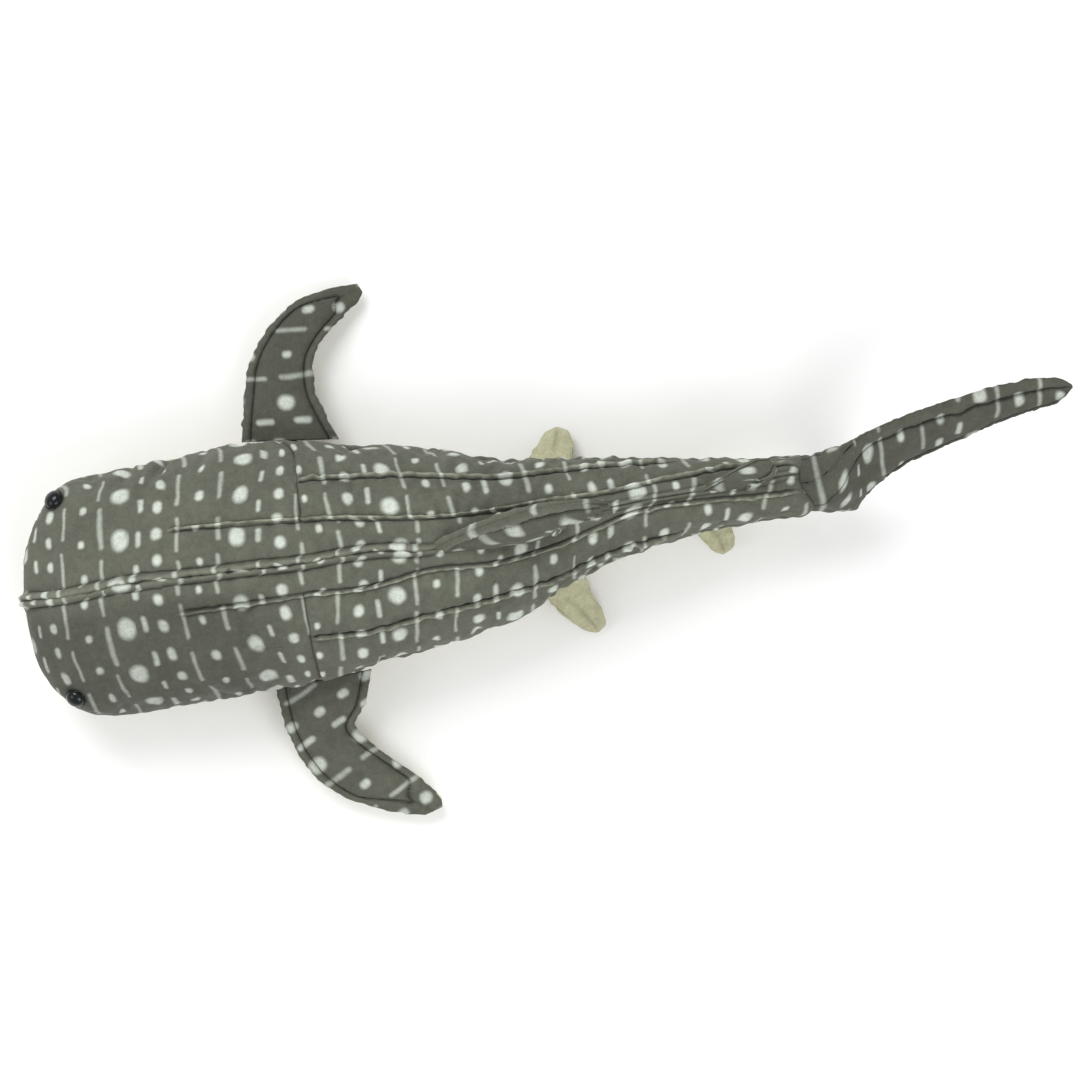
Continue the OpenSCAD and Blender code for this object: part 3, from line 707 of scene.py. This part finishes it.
    # the cloth's own map: along the columns, and away from the keel
    p = half["flat"]
    step = np.concatenate([np.zeros((1, p.shape[1])), np.cumsum(np.linalg.norm(np.diff(p, axis=0), axis=2), 0)])
    anchor = np.searchsorted(x, -20)
    run = step - step[anchor] + x[anchor]
    head = 1 - smooth(-12, 2, place)
    aside = np.abs(p[..., 1] - p[:, :1, 1])
    u = run - 0.0022 * aside ** 2 * head
    lateral = (band >= 1) & (band <= 2) & (place > body["headSeam"])
    u = np.where(lateral, u + 0.09 * (half["across"] - 20) + 3.5, u)
    v = half["across"] + 2.2 * smooth(0, 3.9, half["across"])
    v = v + 2.5 * firstUp * smooth(0, 3, start) * (band == 1) + 2.5 * firstUp * (band >= 2)
    u = u + 2.5 * side * (band == 0) * keelUp * smooth(keelWidth + 0.6, keelWidth - 0.4, start)
    # painted shade: the head's left half is painted darker, as its nap, lying the other way, looks darker under this
    # light
    paintedShade = paintedShade + 0.36 * (side < 0) * smooth(5, 16, half["across"]) * smooth(0, -45, place)
    return q, np.stack([u, v], -1), np.clip(paintedShade, 0, 1), np.clip(paintedHighlight, 0, 1)


def cutPiece(name, points, fabric, marks, faces, keep, thickness):
    # a piece from some faces of a grid
    chosen = faces[keep].reshape(-1, 4)
    used = np.unique(chosen)
    number = np.zeros(points.reshape(-1, 3).shape[0], int)
    number[used] = np.arange(len(used))
    piece = makeMesh(name, points.reshape(-1, 3)[used], number[chosen].tolist(), fabric.reshape(-1, 2)[used],
                     {key: value.reshape(-1)[used] for key, value in marks.items()})
    tidyMesh(piece, thickness)
    return piece


def finishPiece(piece, paint, nodes, ride=None):
    piece.data.materials.clear()
    piece.data.materials.append(paint)
    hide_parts(*nodes)
    if ride:
        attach(piece, ride)
    else:
        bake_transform(piece)


def makeBody():
    x = bodyRows()
    seamRow = int(np.argmin(np.abs(x - body["headSeam"])))
    belly = []
    halves = [bodyHalf(x, 1), bodyHalf(x, -1)]
    for half in halves:
        half["flat"] = half["points"]
    swellBody(halves, x)
    for side, word, half in ((1, "right", halves[0]), (-1, "left", halves[1])):
        # the panels are swelled a little more by formula, on top of the simulation
        points, fabric, paintedShade, paintedHighlight = shapeHalf(half, x, side, 0.2)
        faces = gridFaces(len(x), points.shape[1], side < 0)
        band = np.repeat(half["band"][None, 1:], len(x) - 1, 0)
        row = np.repeat(np.arange(len(x) - 1)[:, None], points.shape[1] - 1, 1)
        marks = {"paintedShade": paintedShade, "paintedHighlight": paintedHighlight}
        # the flank runs on over the tail, where the CAD has only the tail's side panel
        for panel, tailNode, keep in (("crown", "tail_crown", (band == 0) | ((band < 3) & (row < seamRow))),
                                      ("flank", "tail_side", (band == 1) & (row >= seamRow)),
                                      ("side", "tail_side", (band == 2) & (row >= seamRow))):
            piece = cutPiece(panel + "_" + word + "_plush", points, fabric, marks, faces, keep, body["fabric"])
            nodes = [panel + "_" + word, tailNode + "_" + word]
            finishPiece(piece, greyPaint, nodes)
        belly.append((points, fabric, paintedShade, paintedHighlight, half))
    # the belly panel runs from one side seam under the body to the other
    first = int(np.argmax(belly[0][4]["band"] == 3)) - 1
    strips = [part[:, first:] for part in belly[0][:4]], [part[:, first:] for part in belly[1][:4]]
    points, fabric, paintedShade, paintedHighlight = [np.concatenate([a, b[:, ::-1][:, 1:]], 1) for a, b in zip(*strips)]
    faces = gridFaces(len(x), points.shape[1])
    # painted shade on the belly at about a third strength, and no painted highlight
    marks = {"paintedShade": paintedShade * 0.35, "paintedHighlight": paintedHighlight * 0}
    piece = cutPiece("belly_fleece", points, fabric, marks, faces, np.ones(faces.shape[:2], bool), body["fabric"])
    finishPiece(piece, creamPaint, ["belly", "tail_belly"])


makeBody()
print("body panels made")


def placed(points, heights=None):
    if heights is not None:
        points = [list(p) + [h] for p, h in zip(points, heights)]
    return [[n / (len(points) - 1), p] for n, p in enumerate(points)]


def rootPoint(x, degrees, gap=-0.5):
    p = bodyPoint(np.array(float(x)), np.array(math.radians(degrees)), -gap)
    return [float(c) for c in p]


# pectoral_left, dorsal and second_dorsal are painted lighter all over, and dorsal and second_dorsal get a stronger
# painted highlight on their rolled border
fins = {
    "pectoral_right": dict(
        front=placed([[-27, 66.2], [-25, 77], [-22, 90], [-18, 105], [-9, 119], [3, 130.5], [18, 137.8],
        [33, 140], [44.8, 140.3]],
                     [25, 24, 21, 18, 15, 12, 10, 8.5, 8]),
        rear=placed([[24, 60.8], [18, 77], [15, 90], [17, 105], [24.5, 115.5], [33, 122.5], [39.5, 127.5],
        [44.5, 132], [46.8, 135.6]],
                    [25, 24, 21, 18, 15, 12, 10, 8.5, 8]),
        way=[0, 0, 1], fill=5.2, border=5.0, roll=2.3, rows=120, turn=86, offset=(33, 6), spread=1, plainTip=True,
        faces=[("top", 1, "grey"), ("bottom", -1, "cream")],
        blend=("trunk", "pectoral_right", (-0.0015, 0.0635, 0.025), (-0.0005, 0.074, 0.025))),
    "pectoral_left": dict(
        front=placed([[-27, -64.4], [-26, -78], [-24, -89], [-20, -101], [-13, -113], [-2, -124], [12, -132],
        [30, -138.5], [41, -141]],
                     [25, 24, 21, 18, 15, 12, 10, 8.5, 8]),
        rear=placed([[24, -61.2], [18.5, -78], [11.5, -88], [15, -96], [26, -107], [37, -117], [45, -125],
        [50.5, -132], [51, -138]],
                    [25, 24, 21, 18, 15, 12, 10, 8.5, 8]),
        way=[0, 0, 1], fill=5.2, border=5.0, roll=2.3, rows=120, turn=62, offset=(20, 3), spread=1,
        plainTip=True, lighten=0.13,
        faces=[("top", 1, "grey"), ("bottom", -1, "cream")],
        blend=("trunk", "pectoral_left", (-0.0015, -0.0628, 0.025), (-0.0008, -0.0735, 0.025))),
    "dorsal": dict(
        front=placed([rootPoint(65, -1), [84, 2.2, 86.5], [104, 6.6, 97], [124, 9.8, 104.5], [143, 9.6, 109],
        [157, 7.5, 110.5]]),
        rear=placed([rootPoint(137, -2), [131, -2.5, 80], [129, -1.5, 88.5], [137, 0.5, 97], [148, 1, 103.5],
        [159.5, 2.5, 108]]),
        way=[0.05, 0.93, 0.36], fill=7.0, border=(5.0, 3.0), roll=(3.0, 4.6), rows=90, turn=84, offset=(3, 9),
        lighten=0.14, highlightAmount=0.4,
        faces=[("left", -1, "grey"), ("right", 1, "grey")], blend=("trunk", "dorsal", (0.1015, -0.0017, 0.0745),
        (0.1022, -0.0008, 0.0830))),
    "second_dorsal": dict(
        front=placed([rootPoint(203, 2), [213, 10.5, 67], [225, 15.5, 70], [236, 19.5, 72.5], [243, 19, 73]]),
        rear=placed([rootPoint(232, 2), [234, 8, 65.5], [240, 7.5, 68], [245, 9, 70.5], [247, 13.5, 72]]),
        way=[0, 0.6, 0.8], fill=2.6, border=2.4, roll=1.6, rows=50, turn=60, offset=(8, 2), lighten=0.12, highlightAmount=0.35,
        faces=[("left", -1, "grey"), ("right", 1, "grey")], blend=("tail", "second_dorsal",
        (0.218, 0.0060, 0.0618), (0.219, 0.0095, 0.0665))),
    "pelvic_right": dict(
        front=placed([rootPoint(118, 125), [122.5, 39, 9.5], [127.5, 44.5, 7.5], [131.5, 49, 6], [137, 51.2, 5]]),
        rear=placed([rootPoint(141, 125), [144, 36, 10.5], [145, 42, 8], [143.6, 48, 6], [138.5, 51.2, 5]]),
        way=[0, 0, 1], fill=2.0, border=1.2, roll=1.6, spread=1, rows=44, turn=0, offset=(0, 0),
        faces=[("top", 1, "cream"), ("bottom", -1, "cream")],
        blend=("trunk", "pelvic_right", (0.1295, 0.0300, 0.0133), (0.1305, 0.0375, 0.0110))),
    "pelvic_left": dict(
        front=placed([rootPoint(118, -125), [124, -43, 9.5], [131, -51, 7.5], [137.5, -56.5, 6], [143, -58.6, 5]]),
        rear=placed([rootPoint(141, -125), [144.5, -39, 10.5], [148, -47, 8], [149.3, -54.5, 6], [145, -58.6, 5]]),
        way=[0, 0, 1], fill=2.0, border=1.2, roll=1.6, spread=1, rows=44, turn=0, offset=(0, 0),
        faces=[("top", 1, "cream"), ("bottom", -1, "cream")],
        blend=("trunk", "pelvic_left", (0.1295, -0.0285, 0.0133), (0.1310, -0.0370, 0.0110))),
    "anal": dict(
        front=placed([rootPoint(194, -155), [201, -12.5, 11], [206, -19.5, 9], [210.5, -25, 7.6], [214.5, -27, 7]]),
        rear=placed([rootPoint(217, -155), [220.5, -11, 13.5], [222, -17, 10.5], [221, -24, 8.2], [216, -27, 7.2]]),
        way=[0, -0.45, 0.9], fill=2.0, border=1.2, roll=1.6, spread=1, rows=44, turn=0, offset=(0, 0),
        faces=[("left", 1, "cream"), ("right", -1, "cream")],
        blend=("tail", "anal", (0.206, -0.0040, 0.0185), (0.207, -0.0110, 0.0140))),
    "caudal": dict(
        front=placed([[257, 4.5, 55], [265, 4, 56], [273, 7.5, 61], [280, 13.5, 65], [287, 19.5, 69], [295, 24, 74],
                      [314, 30, 85], [337, 34.5, 98], [360, 38, 111], [377, 39.2, 119], [389.5, 38, 123],
                      [396.5, 33.8, 124]]),
        rear=placed([[257, 4.5, 27.5], [265, 3, 26.8], [273, -2, 20], [281, -7, 14], [288, -11.5, 15], [297, -3, 36],
                     [314, 7.5, 58], [335, 14, 75], [358, 20.8, 92], [375, 24.6, 105], [389, 26.8, 114],
                     [396.8, 32.4, 122]]),
        way=[-0.2, 1, -0.3], fill=5.0, border=(8.0, 2.6), roll=2.3, rows=170, turn=90, offset=(6, 12), root=15.2,
        faces=[("left", -1, "grey"), ("right", 1, "grey")], blend=("tail", "caudal", (0.2655, 0.003, 0.041),
        (0.2760, 0.006, 0.041))),
}
finPaints = {"grey": (shadedFinPaint, "grey_plush"), "cream": (creamPaint, "cream_fleece")}


finColumns = np.array([0, 0.35, 0.8, 1.5, 2.4, 3.3, 4.0, 4.5, 4.85, 5.1, 5.45, 6.0, 6.8, 7.8,
    9.0]) / 5  # in border widths


def spread(points, amount):
    # the camera sees low things smaller, so a fin that lies low reaches a little further out
    centre = np.array([view["x"], view["y"]])
    grow = 1 + amount * (view["level"] - points[:, 2:]) / (view["height"] - view["level"])
    return np.concatenate([centre + (points[:, :2] - centre) * grow, points[:, 2:]], 1)


def finGrid(name, fin):
    # middle sheet of a fin, with the distance of each point from the nearer edge
    s = np.linspace(0, 1, fin["rows"])
    front, rear = (spread(along(fin[edge], s), fin.get("spread", 0)) for edge in ("front", "rear"))
    width = np.linalg.norm(rear - front, axis=1)
    wide = np.array(fin["border"], float) * [1, 1]
    scale = np.minimum(1, width / (finColumns[-1] * wide.sum() * 1.25))[:, None]
    first, last = finColumns * wide[0] * scale, width[:, None] - finColumns[::-1] * wide[1] * scale
    t = np.linspace(0, 1, 16)[1:-1]
    q = np.concatenate([first, first[:, -1:] + (last[:, :1] - first[:, -1:]) * t, last], 1)
    u = q / np.maximum(width[:, None], 1e-6)
    sheet = front[:, None] + (rear - front)[:, None] * u[..., None]
    inside = np.minimum(q, width[:, None] - q)
    border = np.where(q < width[:, None] - q, wide[0], wide[1]) * scale
    return s, u, sheet, inside, border, width


def finSurface(name, fin, face):
    s, u, sheet, inside, border, width = finGrid(name, fin)
    reach = np.repeat(s[:, None], u.shape[1], 1)
    closing = np.minimum(1, width / 22)[:, None]
    if fin.get("plainTip"):
        border = border + (np.maximum(width[:, None] / 2, border) - border) * smooth(0.66, 0.84, reach)
    thick = (np.array(fin["roll"], float) * [1, 1])[int(face > 0)]
    curl = np.sin(math.pi * np.clip(inside / np.maximum(border, 1e-6), 0, 1))
    roll = thick * closing ** 0.7 * np.clip(curl, 0, 1) ** 0.6
    deep = np.clip((inside - border) / np.maximum(width[:, None] / 2 - border, 0.5), 0, 1)
    swell = np.interp(s, [0, 0.1, 0.4, 0.8, 1], [0.75, 0.9, 1, 0.75, 0.2])[:, None]
    low = 0.8 * smooth(0, 0.8, inside) * np.minimum(1, closing * 2)
    pillow = low + fin["fill"] * swell * closing * (1 - (1 - deep) ** 2.2) ** 0.6
    height = np.where(inside < border, np.maximum(roll, low), pillow)
    tip = smooth(0.8, 0.88, reach) if fin.get("plainTip") else 0 * reach
    height = height + (1.7 * closing ** 0.6 * (1 - (2 * u - 1) ** 2) ** 0.5 - height) * tip
    cream = fin["faces"][0][2] == "cream"
    if cream:
        furrow = 1 - 0.3 * bump(u, 0.5, 0.06) * smooth(0.1, 0.4, reach)
        height = fin["fill"] * closing ** 0.5 * (1 - (2 * u - 1) ** 2) ** 0.5 * furrow * np.sqrt(1 - reach ** 6)
    # painted shade in the stitched groove inside the rolled border
    paintedShade = bump(inside, border, 0.45) * closing ** 0.3 * (inside > border * 0.5) * (1 - tip)
    # pucker ribs across the rolled border and just inside the stitching
    ribs = ripples(sheet + 40 * u[..., None], 3.6, 81 + len(name)) * 0.33 + ripples(sheet, 9, 82) * 0.3
    height = height + closing * ribs * np.exp(-((inside - border * 0.7) / (border * 0.8)) ** 2) * (inside > 0.3) * 0.9
    dents = 0.5 * ripples(sheet, 22, 84) + 0.2 * ripples(sheet, 9, 85)
    height = height + closing * dents * smooth(1, 8, inside) * min(1, fin["fill"] / 4)
    height = np.maximum(height, 0.68 * smooth(0, 0.8, inside))
    edgeWave = (0.35 * ripples(sheet, 5, 86) + 0.3 * ripples(sheet, 14, 87)) * closing * smooth(0, 0.08, reach)
    if "root" in fin:
        # the tail fin's root is as round as the stock that it is sewn to
        full = fin["root"] * np.interp(reach, [0, 0.09, 0.18, 0.27, 0.36, 0.45, 0.55],
            [0.88, 0.95, 1.02, 1.0, 0.8, 0.58, 0.38])
        full = full * (1 - (2 * u - 1) ** 2) ** 0.52 + 0.5 * ripples(sheet, 8, 88) * smooth(0.02, 0.08, reach)
        height = full + (height - full) * smooth(0.24, 0.55, reach)
    out = unit(np.array(fin["way"], float))
    across = unit(sheet[:, -1:] - sheet[:, :1])
    turned = out
    if "root" in fin:
        turned = unit(np.array([0, 1.0, 0]) + (out - [0, 1.0, 0]) * smooth(0.02, 0.3, reach)[..., None])
    p = sheet + turned * (face * height)[..., None]
    p += across * (np.where(u < 0.5, -1, 1) * edgeWave * np.exp(-inside / 2.5))[..., None]
    # the cloth's own map lies flat on the fin
    length = np.array([0, *np.cumsum(np.linalg.norm(np.diff(sheet.mean(1), axis=0), axis=1))])
    flatX = sheet[..., 0] - sheet[0, 0, 0] if abs(out[2]) > 0.8 else u * width[:, None]
    flatY = np.repeat(length[:, None], u.shape[1], 1) if abs(out[2]) <= 0.8 else np.abs(sheet[..., 1])
    turn = math.radians(fin["turn"])
    fabric = np.stack([flatX * math.cos(turn) + flatY * math.sin(turn),
                       -flatX * math.sin(turn) + flatY * math.cos(turn)], -1)
    fabric = fabric * 0.88 + fin["offset"]
    # painted highlight on the rolled border, and some fins painted lighter all over
    highlightAmount = fin.get("highlightAmount", 0.1) * bump(inside, border * 0.5, border * 0.4) * closing
    if cream:
        # cream fins: painted shade along the middle furrow instead, and no painted highlight
        paintedShade = 0.3 * bump(u, 0.5, 0.07) * smooth(0.1, 0.5, reach) * (1 - smooth(0.75, 0.95, reach))
        highlightAmount = highlightAmount * 0
    marks = {"paintedShade": np.clip(paintedShade, 0, 1), "paintedHighlight": np.clip(highlightAmount + fin.get("lighten", 0), 0, 1)}
    return p, fabric, marks, out * face


def makeFins():
    for name, fin in fins.items():
        for word, face, kind in fin["faces"]:
            points, fabric, marks, out = finSurface(name, fin, face)
            middle = np.array([points.shape[0] // 2, points.shape[1] // 2])
            facing = gridNormals(points)[middle[0], middle[1]] @ out > 0
            faces = gridFaces(points.shape[0], points.shape[1], not facing)
            piece = cutPiece(name + "_" + word + "_plush", points, fabric, marks, faces,
                             np.ones(faces.shape[:2], bool), 0.6)
            paint, slot = finPaints[kind]
            finishPiece(piece, paint, [name + "_" + word])


makeFins()
print("fins made")


def closedRings(name, rings):
    rows, cols = rings.shape[:2]
    points = np.concatenate([rings.reshape(-1, 3), rings[:1].mean(1), rings[-1:].mean(1)])
    faces = [[i * cols + j, i * cols + (j + 1) % cols, (i + 1) * cols + (j + 1) % cols, (i + 1) * cols + j]
             for i in range(rows - 1) for j in range(cols)]
    faces += [[rows * cols, (j + 1) % cols, j] for j in range(cols)]
    faces += [[rows * cols + 1, (rows - 1) * cols + j, (rows - 1) * cols + (j + 1) % cols] for j in range(cols)]
    piece = makeMesh(name, points, faces)
    tidyMesh(piece)
    onlySelect(piece)
    bpy.ops.object.mode_set(mode="EDIT")
    bpy.ops.mesh.select_all(action="SELECT")
    bpy.ops.mesh.normals_make_consistent(inside=False)
    bpy.ops.object.mode_set(mode="OBJECT")
    return piece


def makeStuffing():
    for name, low, high in (("trunk", body["noseX"] + 8, 166), ("tail", 174, 263)):
        x = np.linspace(low, high, 110)
        angle = np.linspace(0, 2 * math.pi, 73)[:-1]
        p = bodyPoint(x[:, None], angle[None, :], 4.5)
        centre = p.mean(1, keepdims=True)
        p = p + unit(p - centre) * (0.9 * ripples(p, 11, 91) + 0.5 * ripples(p, 5, 92))[..., None]
        piece = closedRings(name + "_fibre", p)
        finishPiece(piece, fibrePaint, [name + "_stuffing"], ride=name)
    for name in ("pectoral_right", "pectoral_left", "dorsal", "caudal"):
        fin = fins[name]
        s, u, sheet, inside, border, width = finGrid(name, fin)
        keep = slice(int(len(s) * 0.1), int(len(s) * 0.62), 2)
        t = np.linspace(0, 2 * math.pi, 49)[:-1]
        middle = sheet[keep].mean(1)
        half = (sheet[keep][:, -1] - sheet[keep][:, 0]) / 2 * 0.5
        thick = np.interp(s[keep], [0, 0.4, 0.8, 1], [0.8, 1, 0.6, 0.2]) * fin["fill"] * 0.5
        rings = middle[:, None] + half[:, None] * np.cos(t)[None, :, None]
        rings = rings + unit(fin["way"]) * (thick[:, None] * np.sin(t))[..., None]
        piece = closedRings(name + "_fibre", rings)
        finishPiece(piece, fibrePaint, [name + "_stuffing"], ride=name)


makeStuffing()
print("stuffing made")

eye = dict(radius=5.2, rim=5.9, rimHeight=0.9, dome=3.7, rings=9,
           places={"right": ((-127, 48.9, 48.2), (-0.498, 0.581, 0.644)),
           "left": ((-130.2, -53.6, 47.6), (-0.446, -0.600, 0.664))})


def plasticMaterial(name, colour, rough, coat):
    paint = bpy.data.materials.new(name)
    paint.use_nodes = True
    tree = paint.node_tree
    shader = tree.nodes["Principled BSDF"]
    coords = tree.nodes.new("ShaderNodeTexCoord").outputs["Object"]
    scuff = newNode(tree, "ShaderNodeTexNoise", {"Vector": coords}, Scale=700.0, Detail=4.0)
    tree.links.new(mapRange(tree, scuff.outputs["Fac"], 0.3, 0.75, rough, rough + 0.12), shader.inputs["Roughness"])
    tone = newNode(tree, "ShaderNodeMix", data_type="RGBA")
    tone.inputs["A"].default_value = colour
    tone.inputs["B"].default_value = tuple(c * 1.35 + 0.002 for c in colour[:3]) + (1,)
    tree.links.new(scuff.outputs["Fac"], tone.inputs["Factor"])
    tree.links.new(tone.outputs["Result"], shader.inputs["Base Color"])
    bumps = newNode(tree, "ShaderNodeBump", {"Height": scuff.outputs["Fac"]}, Strength=0.05, Distance=0.0002)
    tree.links.new(bumps.outputs[0], shader.inputs["Normal"])
    shader.inputs["Specular IOR Level"].default_value = 0.35
    shader.inputs["Coat Weight"].default_value = coat
    shader.inputs["Coat Roughness"].default_value = 0.04
    return paint


eyePaint = plasticMaterial("blackEyePlastic", (0.002, 0.004, 0.004, 1), 0.1, 0.0)
washerPaint = plasticMaterial("washerPlastic", (0.75, 0.75, 0.72, 1), 0.45, 0.0)


def makeEye(word):
    # a turned disc whose top is drawn up into a dome, ring by ring
    place, way = eye["places"][word]
    selectNone()
    bpy.ops.mesh.primitive_cylinder_add(vertices=72, radius=eye["rim"] / 1000, depth=eye["rimHeight"] / 1000,
                                        location=(0, 0, 0.001))
    piece = bpy.context.object
    piece.name = piece.data.name = "eye_" + word + "_dome"
    bpy.ops.object.transform_apply(location=True, rotation=True, scale=True)
    bpy.ops.object.mode_set(mode="EDIT")
    bpy.ops.mesh.select_mode(type="FACE")
    bpy.ops.mesh.select_all(action="DESELECT")
    bpy.ops.object.mode_set(mode="OBJECT")
    for face in piece.data.polygons:
        face.select = face.normal.z > 0.9
    bpy.ops.object.mode_set(mode="EDIT")
    bpy.ops.mesh.inset(thickness=(eye["rim"] - eye["radius"] - 0.25) / 1000)
    bpy.ops.mesh.inset(thickness=0.00025)
    bpy.ops.transform.translate(value=(0, 0, -0.00035))
    radius, level = eye["radius"], 0.0
    for n in range(1, eye["rings"] + 1):
        a = math.radians(90 * n / (eye["rings"] + 0.5))
        nextRadius, nextLevel = eye["radius"] * math.cos(a), eye["dome"] * math.sin(a)
        bpy.ops.mesh.inset(thickness=(radius - nextRadius) / 1000)
        bpy.ops.transform.translate(value=(0, 0, (nextLevel - level) / 1000))
        radius, level = nextRadius, nextLevel
    bpy.ops.object.mode_set(mode="OBJECT")
    bevel = piece.modifiers.new("softRim", "BEVEL")
    bevel.width, bevel.segments, bevel.limit_method, bevel.angle_limit = 0.0002, 3, "ANGLE", math.radians(50)
    bpy.ops.object.modifier_apply(modifier=bevel.name)
    bpy.ops.object.shade_smooth_by_angle(angle=math.radians(50))
    turn = Vector(way).to_track_quat("Z", "Y").to_matrix().to_4x4()
    piece.data.transform(turn)
    piece.data.transform(Matrix.Translation(Vector(place) / 1000 + Vector(way) * 0.0006))
    piece.data.materials.append(eyePaint)
    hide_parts("eye_" + word)
    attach(piece, "trunk")


for word in ("right", "left"):
    makeEye(word)
    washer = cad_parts["eye_washer_" + word]
    washer.data.materials.clear()
    washer.data.materials.append(washerPaint)
print("eyes made")
